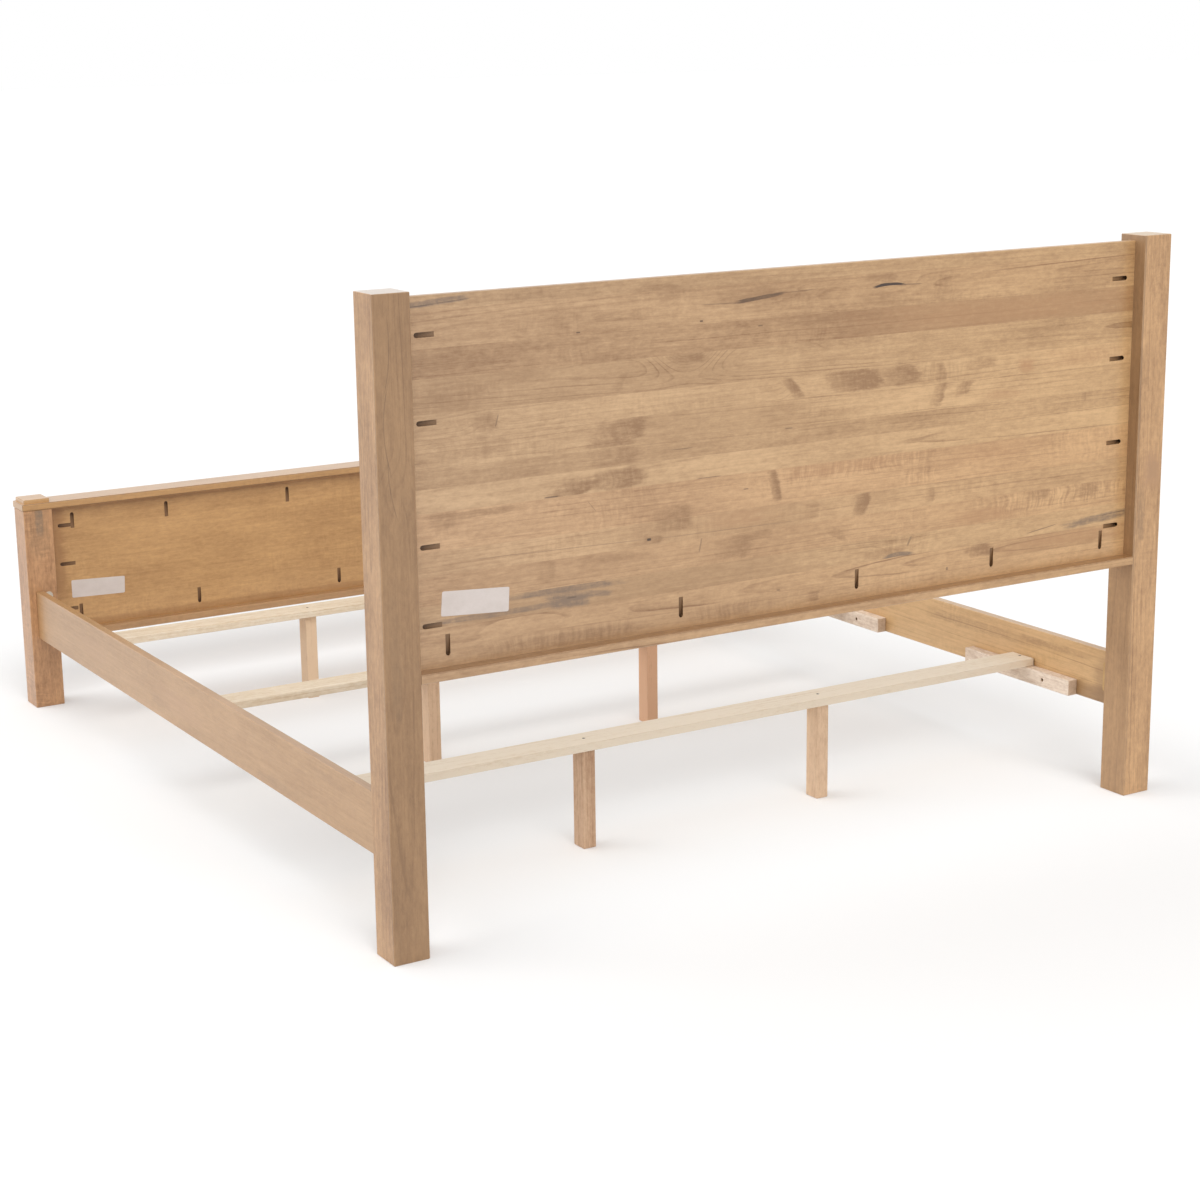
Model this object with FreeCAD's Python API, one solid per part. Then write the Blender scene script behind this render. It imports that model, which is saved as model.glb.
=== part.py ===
"""King-size panel bed frame: head and foot assemblies, side rails, slats, legs and hardware.

Lengths are in millimetres. X runs across the bed, Y along it with the headboard
at +Y, Z is up, and the origin lies on the floor under the middle of the bed.
Right is +X and left is -X, as seen by someone who stands at the foot of the bed.
"""
import FreeCAD, Part
import math
import os

Vector = FreeCAD.Vector

# Overall sizes
BED_WIDTH = 2032.0
BED_LENGTH = 2292.0
HEAD_POST_HEIGHT = 1336.0
POST_SIDE = 80.0
POST_EASE = 1.5

# Headboard
PANEL_THICKNESS = 19.0
HEAD_PANEL_BACK_RECESS = 33.0
HEAD_PANEL_TOP_DROP = 13.0
HEAD_PANEL_HEIGHT = 734.0
HEAD_PANEL_TOP_EASE = 2.0
LEDGE_THICKNESS = 19.0
LEDGE_SETBACK = 6.0
HEAD_BOARD_HEIGHT_SHARES = (
    0.055, 0.053, 0.064, 0.080, 0.067, 0.105, 0.065,
    0.053, 0.079, 0.067, 0.094, 0.079, 0.102, 0.037,
)
HEAD_POCKET_RIGHT_SHARES = (0.119, 0.334, 0.666, 0.898)
HEAD_POCKET_LEFT_SHARES = (0.102, 0.370, 0.636, 0.886)
HEAD_POCKET_BOTTOM_SHARES = (-0.920, -0.568, -0.160, 0.331, 0.918)

# Footboard
FOOT_POST_HEIGHT = 555.0
FOOT_PANEL_INSIDE_RECESS = 26.0
FOOT_PANEL_HEIGHT = 349.0
CAP_THICKNESS = 19.0
CAP_OVERHANG = 2.5
CAP_EASE = 2.5
PAD_SIDE = 72.0
PAD_THICKNESS = 11.0
PAD_EASE = 2.0
FOOT_POCKET_END_SHARES = (0.161, 0.528, 0.840)
FOOT_POCKET_TOP_SHARES = (-0.932, -0.638, -0.241, 0.241, 0.638, 0.932)
FOOT_POCKET_BOTTOM_SHARES = (-0.921, -0.436, 0.075, 0.546, 0.921)

# Side rails
RAIL_BOTTOM = 197.0
RAIL_HEIGHT = 132.0
RAIL_THICKNESS = 22.0
RAIL_OUTSIDE_INSET = 20.0
WOOD_EASE = 1.5

# Slats, the cleats that carry them and the legs under them
SLAT_WIDTH = 79.0
SLAT_THICKNESS = 19.0
SLAT_END_CLEARANCE = 2.0
SLAT_FOOT_SHARE = 0.354
SLAT_MIDDLE_SHARE = 0.008
SLAT_HEAD_SHARE = 0.346
CLEAT_LENGTH = 390.0
CLEAT_HEIGHT = 39.0
CLEAT_THICKNESS = 28.0
CLEAT_SCREW_SPACING = 200.0
CLEAT_COUNTERBORE = 9.0
CLEAT_COUNTERBORE_DEPTH = 9.0
LEG_WIDTH = 33.0
LEG_DEPTH = 44.0
LEG_OFFSET = 327.0

# Pocket screws: a ramp milled into the panel's face leads a screw into the neighbour
POCKET_ANGLE = 12.0
POCKET_WIDTH = 10.4
POCKET_BORE = 9.6
POCKET_FLOOR_DROP = 0.3
POCKET_WALL = 12.0
POCKET_SCREW_LENGTH = 30.0
POCKET_HEAD_DIAMETER = 8.6
POCKET_HEAD_THICKNESS = 2.2

# Wood screws
SCREW_DIAMETER = 4.0
SCREW_TIP = 4.0
SCREW_TIP_DIAMETER = 1.0
SCREW_CLEARANCE = 0.1
FLAT_HEAD_DIAMETER = 8.0
FLAT_HEAD_DEPTH = 2.4
FLAT_HEAD_SINK = 0.2
CLEAT_SCREW_LENGTH = 34.0
SLAT_SCREW_LENGTH = 42.0
LEG_SCREW_LENGTH = 64.0
PLATE_SCREW_LENGTH = 30.0
BRACKET_SCREW_LENGTH = 16.0

# Dowels
LEDGE_DOWEL_DIAMETER = 8.0
LEDGE_DOWEL_LENGTH = 60.0
CAP_DOWEL_DIAMETER = 10.0
CAP_DOWEL_POST_DEPTH = 32.0
CAP_DOWEL_PAD_DEPTH = 6.0
DOWEL_CLEARANCE = 0.1

# Knock-down rail fittings: a slotted plate on the post, a hooked angle on the rail
STEEL = 2.0
PLATE_WIDTH = 24.0
PLATE_HEIGHT = 122.0
PLATE_TOP_DROP = 3.0
PLATE_SIDE_GAP = 0.6
PLATE_SCREW_MARGIN = 11.0
FITTING_GAP = 0.3
ANGLE_HEIGHT = 72.0
ANGLE_REACH = 42.0
ANGLE_HOOK_LEAF = 22.0
ANGLE_CORNER_RADIUS = 6.0
HOOK_SPACING = 40.0
HOOK_NECK = 9.0
HOOK_LIP_DROP = 7.0
HOOK_SIDE_CLEARANCE = 0.5
HOOK_DROP_CLEARANCE = 1.0
HOOK_POCKET_WIDTH = 8.0
HOOK_POCKET_DEPTH = 6.0
HOOK_POCKET_MARGIN = 3.0
BRACKET_SCREW_SPACING = 44.0
BRACKET_SCREW_ROW_SPACING = 18.0

# Small round pieces and holes are drawn with this many flat sides
SCREW_SIDES = 6
DOWEL_SIDES = 8
BORE_SIDES = 10
POCKET_END_SIDES = 4
PLATE_END_SIDES = 16

# Cutting tools run past the faces that they open by this much
OVERRUN = 1.0

# Places worked out from the sizes above
HALF_WIDTH = BED_WIDTH / 2
HALF_LENGTH = BED_LENGTH / 2
POST_INNER_X = HALF_WIDTH - POST_SIDE
POST_INNER_Y = HALF_LENGTH - POST_SIDE
HEAD_PANEL_TOP = HEAD_POST_HEIGHT - HEAD_PANEL_TOP_DROP
HEAD_PANEL_BOTTOM = HEAD_PANEL_TOP - HEAD_PANEL_HEIGHT
HEAD_PANEL_BACK_Y = HALF_LENGTH - HEAD_PANEL_BACK_RECESS
HEAD_PANEL_FRONT_Y = HEAD_PANEL_BACK_Y - PANEL_THICKNESS
HEAD_LEDGE_BOTTOM = HEAD_PANEL_BOTTOM - LEDGE_THICKNESS
LEDGE_DEPTH = POST_SIDE - LEDGE_SETBACK
FOOT_PANEL_TOP = FOOT_POST_HEIGHT
FOOT_PANEL_BOTTOM = FOOT_PANEL_TOP - FOOT_PANEL_HEIGHT
FOOT_PANEL_INSIDE_Y = -POST_INNER_Y - FOOT_PANEL_INSIDE_RECESS
FOOT_PANEL_OUTSIDE_Y = FOOT_PANEL_INSIDE_Y - PANEL_THICKNESS
FOOT_LEDGE_BOTTOM = FOOT_PANEL_BOTTOM - LEDGE_THICKNESS
CAP_TOP = FOOT_POST_HEIGHT + CAP_THICKNESS
RAIL_OUTER_X = HALF_WIDTH - RAIL_OUTSIDE_INSET
RAIL_INNER_X = RAIL_OUTER_X - RAIL_THICKNESS
RAIL_TOP = RAIL_BOTTOM + RAIL_HEIGHT
RAIL_LENGTH = 2 * POST_INNER_Y
CLEAT_INNER_X = RAIL_INNER_X - CLEAT_THICKNESS
CLEAT_TOP = RAIL_BOTTOM + CLEAT_HEIGHT
SLAT_TOP = CLEAT_TOP + SLAT_THICKNESS
SLAT_END_X = RAIL_INNER_X - SLAT_END_CLEARANCE
PLATE_OUTER_X = RAIL_INNER_X - PLATE_SIDE_GAP
PLATE_INNER_X = PLATE_OUTER_X - PLATE_WIDTH
PLATE_TOP = RAIL_TOP - PLATE_TOP_DROP
PLATE_BOTTOM = PLATE_TOP - PLATE_HEIGHT
PLATE_MIDDLE_X = (PLATE_OUTER_X + PLATE_INNER_X) / 2
PLATE_MIDDLE_Z = (PLATE_TOP + PLATE_BOTTOM) / 2

SIDES = {"right": 1, "left": -1}
ENDS = {"head": 1, "foot": -1}


# Plain solids

def box(corner, opposite):
    """Box between two corners, given as (x, y, z) in any order."""
    low = Vector(*[min(pair) for pair in zip(corner, opposite)])
    high = Vector(*[max(pair) for pair in zip(corner, opposite)])
    size = high - low
    return Part.makeBox(size.x, size.y, size.z, low)


def eased_box(corner, opposite, ease):
    """Box with every edge taken off by a small chamfer."""
    block = box(corner, opposite)
    return block.makeChamfer(ease, block.Edges)


def flat_face(corners):
    """Flat face through a closed run of corners."""
    return Part.Face(Part.makePolygon(corners + corners[:1]))


def ring(radius, height, sides):
    """Corners of a regular polygon around the Z axis."""
    turns = [2 * math.pi * index / sides for index in range(sides)]
    return [Vector(radius * math.cos(turn), radius * math.sin(turn), height) for turn in turns]


def turned(profile, point, direction, sides=SCREW_SIDES):
    """Solid with flat sides around an axis, from (radius, height) pairs, set on a point."""
    rings = [ring(radius, height, sides) for radius, height in profile]
    faces = [flat_face(rings[0]), flat_face(rings[-1])]
    for lower, upper in zip(rings, rings[1:]):
        for index in range(sides):
            beside = (index + 1) % sides
            faces.append(flat_face([lower[index], lower[beside], upper[beside], upper[index]]))
    solid = Part.Solid(Part.Shell(faces))
    turn = FreeCAD.Rotation(Vector(0, 0, 1), direction)
    solid.Placement = FreeCAD.Placement(point, turn)
    return solid


def drilled(diameter, point, direction, depth, sides=SCREW_SIDES):
    """Round hole, peg or disc as a solid, from a point along a direction."""
    return turned([(diameter / 2, 0), (diameter / 2, depth)], point, direction, sides)


def cut_all(solid, cutters):
    """Solid with every cutter that reaches it taken away."""
    reached = [cutter for cutter in cutters if solid.BoundBox.intersect(cutter.BoundBox)]
    if not reached:
        return solid
    return solid.cut(reached).removeSplitter()


# Screws and dowels

def pan_screw(point, direction, length):
    """Screw with a round washer head, whose head seats on the point."""
    head = POCKET_HEAD_DIAMETER / 2
    shank = SCREW_DIAMETER / 2
    profile = [
        (head, -POCKET_HEAD_THICKNESS),
        (head, 0),
        (shank, 0),
        (shank, length - SCREW_TIP),
        (SCREW_TIP_DIAMETER / 2, length),
    ]
    return turned(profile, point, direction)


def flat_screw(point, direction, length):
    """Screw with a countersunk head, sunk a little below the surface point."""
    head = FLAT_HEAD_DIAMETER / 2
    shank = SCREW_DIAMETER / 2
    profile = [
        (head, FLAT_HEAD_SINK),
        (shank, FLAT_HEAD_SINK + FLAT_HEAD_DEPTH),
        (shank, length - SCREW_TIP),
        (SCREW_TIP_DIAMETER / 2, length),
    ]
    return turned(profile, point, direction)


def screw_hole(point, direction, length):
    """Hole for a screw's shank, a little wider and deeper than the screw."""
    diameter = SCREW_DIAMETER + 2 * SCREW_CLEARANCE
    return drilled(diameter, point, direction, length + SCREW_CLEARANCE)


def countersunk_hole(point, direction, length):
    """Hole with a countersink for a flat screw's head."""
    head = FLAT_HEAD_DIAMETER / 2 + SCREW_CLEARANCE
    shank = SCREW_DIAMETER / 2 + SCREW_CLEARANCE
    profile = [
        (head, -OVERRUN),
        (head, FLAT_HEAD_SINK),
        (shank, FLAT_HEAD_SINK + FLAT_HEAD_DEPTH),
        (shank, length + SCREW_CLEARANCE),
    ]
    return turned(profile, point, direction)


class Pocket:
    """One angled pocket in a panel's face, with the screw that it leads to its joint."""

    def __init__(self, joint_point, to_joint, into_panel):
        """Aim at a joint's face from a point on the panel's edge, through its middle."""
        tilt = math.radians(POCKET_ANGLE)
        setback = PANEL_THICKNESS / 2 / math.tan(tilt)
        self.to_joint = to_joint
        self.outward = into_panel * -1
        self.direction = to_joint * math.cos(tilt) + into_panel * math.sin(tilt)
        self.mouth = joint_point - to_joint * setback
        self.reach = (setback - POCKET_WALL) / math.cos(tilt)
        self.seat = self.mouth + self.direction * self.reach

    def ramp(self):
        """Slot that gets steadily deeper towards the joint, with a round deep end."""
        tilt = math.radians(POCKET_ANGLE)
        half = POCKET_WIDTH / 2
        behind = (POCKET_BORE / 2 + POCKET_FLOOR_DROP) / math.sin(tilt)
        length = behind + POCKET_BORE / 2 / math.sin(tilt)
        origin = self.mouth - self.to_joint * behind
        sideways = self.to_joint.cross(self.outward)
        places = [(-OVERRUN / math.tan(tilt), -half)]
        for index in range(POCKET_END_SIDES + 1):
            turn = math.pi * (index / POCKET_END_SIDES - 1 / 2)
            places.append((length - half + half * math.cos(turn), half * math.sin(turn)))
        places.append((places[0][0], half))
        upper = []
        lower = []
        for along, across in places:
            point = origin + self.to_joint * along + sideways * across
            upper.append(point + self.outward * OVERRUN)
            lower.append(point - self.outward * (along * math.tan(tilt)))
        last = len(places) - 1
        faces = [flat_face(upper), flat_face(lower)]
        faces.append(flat_face([upper[0], upper[1], lower[1]]))
        faces.append(flat_face([upper[last], upper[last - 1], lower[last - 1]]))
        for index in range(1, last - 1):
            beside = index + 1
            faces.append(flat_face([upper[index], upper[beside], lower[beside], lower[index]]))
        return Part.Solid(Part.Shell(faces))

    def cutters(self):
        """The ramp, the bore with its seat, and the screw's hole beyond it."""
        bore = drilled(POCKET_BORE, self.mouth, self.direction, self.reach, BORE_SIDES)
        return [self.ramp(), bore, self.hole()]

    def hole(self):
        """The screw's hole, which also enters the neighbour."""
        return screw_hole(self.seat, self.direction, POCKET_SCREW_LENGTH)

    def screw(self):
        """The screw, seated at the foot of the bore."""
        return pan_screw(self.seat, self.direction, POCKET_SCREW_LENGTH)


def head_pockets():
    """Pockets in the back of the head panel, at both posts and along the ledge."""
    into_panel = Vector(0, -1, 0)
    pockets = []
    for side, shares in ((1, HEAD_POCKET_RIGHT_SHARES), (-1, HEAD_POCKET_LEFT_SHARES)):
        for share in shares:
            height = HEAD_PANEL_BOTTOM + share * HEAD_PANEL_HEIGHT
            joint = Vector(side * POST_INNER_X, HEAD_PANEL_BACK_Y, height)
            pockets.append(Pocket(joint, Vector(side, 0, 0), into_panel))
    for share in HEAD_POCKET_BOTTOM_SHARES:
        joint = Vector(share * POST_INNER_X, HEAD_PANEL_BACK_Y, HEAD_PANEL_BOTTOM)
        pockets.append(Pocket(joint, Vector(0, 0, -1), into_panel))
    return pockets


def foot_pockets():
    """Pockets in the inside of the foot panel, at the posts, the cap and the ledge."""
    into_panel = Vector(0, -1, 0)
    pockets = []
    for side in SIDES.values():
        for share in FOOT_POCKET_END_SHARES:
            height = FOOT_PANEL_BOTTOM + share * FOOT_PANEL_HEIGHT
            joint = Vector(side * POST_INNER_X, FOOT_PANEL_INSIDE_Y, height)
            pockets.append(Pocket(joint, Vector(side, 0, 0), into_panel))
    for share in FOOT_POCKET_TOP_SHARES:
        joint = Vector(share * POST_INNER_X, FOOT_PANEL_INSIDE_Y, FOOT_PANEL_TOP)
        pockets.append(Pocket(joint, Vector(0, 0, 1), into_panel))
    for share in FOOT_POCKET_BOTTOM_SHARES:
        joint = Vector(share * POST_INNER_X, FOOT_PANEL_INSIDE_Y, FOOT_PANEL_BOTTOM)
        pockets.append(Pocket(joint, Vector(0, 0, -1), into_panel))
    return pockets


def pocket_cutters(pockets):
    """Everything that a group of pockets takes out of its panel."""
    cutters = []
    for pocket in pockets:
        cutters.extend(pocket.cutters())
    return cutters


def ledge_dowel_places(side, end):
    """Axis points of the two dowels between a ledge's end and its post."""
    level = HEAD_LEDGE_BOTTOM if end > 0 else FOOT_LEDGE_BOTTOM
    inner_face = HALF_LENGTH - LEDGE_DEPTH if end > 0 else -POST_INNER_Y - LEDGE_DEPTH
    height = level + LEDGE_THICKNESS / 2
    start = side * (POST_INNER_X - LEDGE_DOWEL_LENGTH / 2)
    return [Vector(start, inner_face + LEDGE_DEPTH * part, height) for part in (1 / 4, 3 / 4)]


def ledge_dowels(end, allowance):
    """Dowels at both ends of a ledge, or their holes when an allowance is given."""
    solids = []
    for side in SIDES.values():
        direction = Vector(side, 0, 0)
        for point in ledge_dowel_places(side, end):
            start = point - direction * allowance
            length = LEDGE_DOWEL_LENGTH + 2 * allowance
            diameter = LEDGE_DOWEL_DIAMETER + 2 * allowance
            solids.append(drilled(diameter, start, direction, length, DOWEL_SIDES))
    return solids


def cap_dowels(allowance):
    """Upright dowels that key post, cap rail and pad, or their holes."""
    middle = HALF_WIDTH - POST_SIDE / 2
    start = FOOT_POST_HEIGHT - CAP_DOWEL_POST_DEPTH - allowance
    length = CAP_DOWEL_POST_DEPTH + CAP_THICKNESS + CAP_DOWEL_PAD_DEPTH + 2 * allowance
    solids = []
    for side in SIDES.values():
        point = Vector(side * middle, -HALF_LENGTH + POST_SIDE / 2, start)
        diameter = CAP_DOWEL_DIAMETER + 2 * allowance
        solids.append(drilled(diameter, point, Vector(0, 0, 1), length, DOWEL_SIDES))
    return solids


# Knock-down rail fittings

def plate_screw_points(side, end):
    """Surface points of the two screws that hold a post's plate."""
    surface = end * (POST_INNER_Y - STEEL)
    heights = (PLATE_TOP - PLATE_SCREW_MARGIN, PLATE_BOTTOM + PLATE_SCREW_MARGIN)
    return [Vector(side * PLATE_MIDDLE_X, surface, height) for height in heights]


def hook_heights():
    """Heights of the middles of the two hook necks."""
    return (PLATE_MIDDLE_Z - HOOK_SPACING / 2, PLATE_MIDDLE_Z + HOOK_SPACING / 2)


def post_plate(side, end):
    """Steel plate on a post's inner face, round at both ends, with two hook slots."""
    radius = PLATE_WIDTH / 2
    face = end * POST_INNER_Y
    front = face - end * STEEL
    low = PLATE_BOTTOM + radius
    high = PLATE_TOP - radius
    plate = box((side * PLATE_INNER_X, face, low), (side * PLATE_OUTER_X, front, high))
    for height in (low, high):
        centre = Vector(side * PLATE_MIDDLE_X, face, height)
        plate = plate.fuse(drilled(PLATE_WIDTH, centre, Vector(0, -end, 0), STEEL, PLATE_END_SIDES))
    slot = STEEL / 2 + HOOK_SIDE_CLEARANCE
    cutters = []
    for height in hook_heights():
        bottom = height - HOOK_NECK / 2 - HOOK_LIP_DROP + HOOK_DROP_CLEARANCE
        top = height + HOOK_NECK / 2 + HOOK_LIP_DROP
        cutters.append(box(
            (side * PLATE_MIDDLE_X - slot, face + end * OVERRUN, bottom),
            (side * PLATE_MIDDLE_X + slot, front - end * OVERRUN, top),
        ))
    for point in plate_screw_points(side, end):
        cutters.append(countersunk_hole(point, Vector(0, end, 0), PLATE_SCREW_LENGTH))
    return cut_all(plate.removeSplitter(), cutters)


def hook(side, end, height):
    """Hook profile: a neck through the plate's slot and a lip that drops behind it."""
    root = POST_INNER_Y - STEEL - FITTING_GAP - STEEL
    behind = POST_INNER_Y + FITTING_GAP
    tip = behind + STEEL
    top = height + HOOK_NECK / 2
    bottom = height - HOOK_NECK / 2
    lip = bottom - HOOK_LIP_DROP
    outline = [(root, top), (tip, top), (tip, lip), (behind, lip), (behind, bottom), (root, bottom)]
    left = side * PLATE_MIDDLE_X - STEEL / 2
    corners = [Vector(left, end * along, level) for along, level in outline]
    return flat_face(corners).extrude(Vector(STEEL, 0, 0))


def bracket_screw_points(side, end):
    """Surface points of the three screws that hold the hooked angle to its rail."""
    surface = side * (RAIL_INNER_X - STEEL)
    outer = POST_INNER_Y - ANGLE_REACH + ANGLE_CORNER_RADIUS + FLAT_HEAD_DIAMETER / 2
    inner = outer + BRACKET_SCREW_ROW_SPACING
    low = PLATE_MIDDLE_Z - BRACKET_SCREW_SPACING / 2
    high = PLATE_MIDDLE_Z + BRACKET_SCREW_SPACING / 2
    places = [(outer, low), (outer, high), (inner, PLATE_MIDDLE_Z)]
    return [Vector(surface, end * along, height) for along, height in places]


def rail_bracket(side, end):
    """Steel angle on a rail's inner face, whose short leaf carries two hooks."""
    low = PLATE_MIDDLE_Z - ANGLE_HEIGHT / 2
    high = PLATE_MIDDLE_Z + ANGLE_HEIGHT / 2
    near = POST_INNER_Y - STEEL - FITTING_GAP
    far = POST_INNER_Y - ANGLE_REACH
    wall = box((side * RAIL_INNER_X, end * near, low), (side * (RAIL_INNER_X - STEEL), end * far, high))
    free_edges = [
        edge for edge in wall.Edges
        if abs(edge.CenterOfMass.y - end * far) < STEEL / 2
        and abs(edge.CenterOfMass.z - PLATE_MIDDLE_Z) > ANGLE_HEIGHT / 2 - STEEL / 2
    ]
    wall = wall.makeFillet(ANGLE_CORNER_RADIUS, free_edges)
    leaf_tip = RAIL_INNER_X - ANGLE_HOOK_LEAF
    leaf = box((side * RAIL_INNER_X, end * near, low), (side * leaf_tip, end * (near - STEEL), high))
    hooks = [hook(side, end, height) for height in hook_heights()]
    angle = wall.fuse([leaf] + hooks).removeSplitter()
    holes = [
        countersunk_hole(point, Vector(side, 0, 0), BRACKET_SCREW_LENGTH)
        for point in bracket_screw_points(side, end)
    ]
    return cut_all(angle, holes)


def hook_pocket_cutters(side, end):
    """Small mortises in a post, behind its plate, that take the hooks' lips."""
    face = end * POST_INNER_Y
    half = HOOK_POCKET_WIDTH / 2
    cutters = []
    for height in hook_heights():
        top = height + HOOK_NECK / 2 + HOOK_LIP_DROP + HOOK_POCKET_MARGIN
        bottom = height - HOOK_NECK / 2 - HOOK_LIP_DROP - HOOK_POCKET_MARGIN
        cutters.append(box(
            (side * PLATE_MIDDLE_X - half, face - end * OVERRUN, bottom),
            (side * PLATE_MIDDLE_X + half, face + end * HOOK_POCKET_DEPTH, top),
        ))
    return cutters


def plate_screw_holes(side, end):
    """Holes of the plate's screws, which also enter the post."""
    direction = Vector(0, end, 0)
    points = plate_screw_points(side, end)
    return [screw_hole(point, direction, PLATE_SCREW_LENGTH) for point in points]


def bracket_screw_holes(side, end):
    """Holes of the hooked angle's screws, which also enter the rail."""
    direction = Vector(side, 0, 0)
    points = bracket_screw_points(side, end)
    return [screw_hole(point, direction, BRACKET_SCREW_LENGTH) for point in points]


def bracket_screws():
    """All screws of the four knock-down fittings."""
    screws = []
    for side in SIDES.values():
        for end in ENDS.values():
            for point in plate_screw_points(side, end):
                screws.append(flat_screw(point, Vector(0, end, 0), PLATE_SCREW_LENGTH))
            for point in bracket_screw_points(side, end):
                screws.append(flat_screw(point, Vector(side, 0, 0), BRACKET_SCREW_LENGTH))
    return screws


# Head assembly

def head_post(side, pockets):
    """Full-height post of the headboard, with the holes that its joints need."""
    post = eased_box(
        (side * HALF_WIDTH, HALF_LENGTH, 0),
        (side * POST_INNER_X, POST_INNER_Y, HEAD_POST_HEIGHT),
        POST_EASE,
    )
    cutters = [pocket.hole() for pocket in pockets]
    cutters += ledge_dowels(1, DOWEL_CLEARANCE)
    cutters += hook_pocket_cutters(side, 1)
    cutters += plate_screw_holes(side, 1)
    return cut_all(post, cutters)


def head_boards(pockets):
    """Edge-glued boards of the head panel, listed from the lowest upwards."""
    cutters = pocket_cutters(pockets)
    boards = []
    bottom = HEAD_PANEL_BOTTOM
    total_share = sum(HEAD_BOARD_HEIGHT_SHARES)
    for share in HEAD_BOARD_HEIGHT_SHARES:
        top = bottom + HEAD_PANEL_HEIGHT * share / total_share
        board = box((-POST_INNER_X, HEAD_PANEL_FRONT_Y, bottom), (POST_INNER_X, HEAD_PANEL_BACK_Y, top))
        boards.append(board)
        bottom = top
    top_edges = [
        edge for edge in boards[-1].Edges
        if edge.CenterOfMass.z > HEAD_PANEL_TOP - HEAD_PANEL_TOP_EASE
        and edge.Length > PANEL_THICKNESS
    ]
    boards[-1] = boards[-1].makeFillet(HEAD_PANEL_TOP_EASE, top_edges)
    return [cut_all(board, cutters) for board in boards]


def head_ledge(pockets):
    """Flat rail under the head panel, flush with the backs of the posts."""
    ledge = box(
        (-POST_INNER_X, HALF_LENGTH - LEDGE_DEPTH, HEAD_LEDGE_BOTTOM),
        (POST_INNER_X, HALF_LENGTH, HEAD_PANEL_BOTTOM),
    )
    long_edges = [edge for edge in ledge.Edges if edge.Length > LEDGE_DEPTH + LEDGE_THICKNESS]
    ledge = ledge.makeChamfer(WOOD_EASE, long_edges)
    cutters = [pocket.hole() for pocket in pockets]
    return cut_all(ledge, cutters + ledge_dowels(1, DOWEL_CLEARANCE))


# Foot assembly

def foot_post(side, pockets):
    """Short post of the footboard, with the holes that its joints need."""
    post = eased_box(
        (side * HALF_WIDTH, -HALF_LENGTH, 0),
        (side * POST_INNER_X, -POST_INNER_Y, FOOT_POST_HEIGHT),
        POST_EASE,
    )
    cutters = [pocket.hole() for pocket in pockets]
    cutters += ledge_dowels(-1, DOWEL_CLEARANCE)
    cutters += cap_dowels(DOWEL_CLEARANCE)
    cutters += hook_pocket_cutters(side, -1)
    cutters += plate_screw_holes(side, -1)
    return cut_all(post, cutters)


def foot_panel(pockets):
    """Plywood panel of the footboard, set in from the posts' inner faces."""
    panel = box(
        (-POST_INNER_X, FOOT_PANEL_OUTSIDE_Y, FOOT_PANEL_BOTTOM),
        (POST_INNER_X, FOOT_PANEL_INSIDE_Y, FOOT_PANEL_TOP),
    )
    return cut_all(panel, pocket_cutters(pockets))


def foot_ledge(pockets):
    """Flat rail under the foot panel, flush with the posts' inner faces."""
    ledge = box(
        (-POST_INNER_X, -POST_INNER_Y - LEDGE_DEPTH, FOOT_LEDGE_BOTTOM),
        (POST_INNER_X, -POST_INNER_Y, FOOT_PANEL_BOTTOM),
    )
    long_edges = [edge for edge in ledge.Edges if edge.Length > LEDGE_DEPTH + LEDGE_THICKNESS]
    ledge = ledge.makeChamfer(WOOD_EASE, long_edges)
    cutters = [pocket.hole() for pocket in pockets]
    return cut_all(ledge, cutters + ledge_dowels(-1, DOWEL_CLEARANCE))


def foot_cap(pockets):
    """Cap rail that runs over the panel and both posts."""
    cap = box(
        (-HALF_WIDTH - CAP_OVERHANG, -HALF_LENGTH - CAP_OVERHANG, FOOT_POST_HEIGHT),
        (HALF_WIDTH + CAP_OVERHANG, -POST_INNER_Y + CAP_OVERHANG, CAP_TOP),
    )
    cap = cap.makeChamfer(CAP_EASE, cap.Edges)
    cutters = [pocket.hole() for pocket in pockets]
    return cut_all(cap, cutters + cap_dowels(DOWEL_CLEARANCE))


def foot_pad(side):
    """Raised square pad on the cap rail, above a post."""
    middle_x = side * (HALF_WIDTH - POST_SIDE / 2)
    middle_y = -HALF_LENGTH + POST_SIDE / 2
    half = PAD_SIDE / 2
    pad = box(
        (middle_x - half, middle_y - half, CAP_TOP),
        (middle_x + half, middle_y + half, CAP_TOP + PAD_THICKNESS),
    )
    upper = [edge for edge in pad.Edges if edge.CenterOfMass.z > CAP_TOP]
    return cut_all(pad.makeChamfer(PAD_EASE, upper), cap_dowels(DOWEL_CLEARANCE))


# Side rails, cleats, slats and legs

def cleat_screw_points(side, middle):
    """Points on a cleat's inner face where its two screws enter."""
    height = RAIL_BOTTOM + CLEAT_HEIGHT / 2
    places = (middle - CLEAT_SCREW_SPACING / 2, middle + CLEAT_SCREW_SPACING / 2)
    return [Vector(side * CLEAT_INNER_X, along, height) for along in places]


def cleat_screw_seats(side, middle):
    """Points at the bottoms of a cleat's counterbores, where the heads seat."""
    sink = Vector(side * CLEAT_COUNTERBORE_DEPTH, 0, 0)
    return [point + sink for point in cleat_screw_points(side, middle)]


def slat_middles():
    """Places of the slats' middles along the bed, by name."""
    return {
        "foot": -SLAT_FOOT_SHARE * RAIL_LENGTH,
        "middle": -SLAT_MIDDLE_SHARE * RAIL_LENGTH,
        "head": SLAT_HEAD_SHARE * RAIL_LENGTH,
    }


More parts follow.
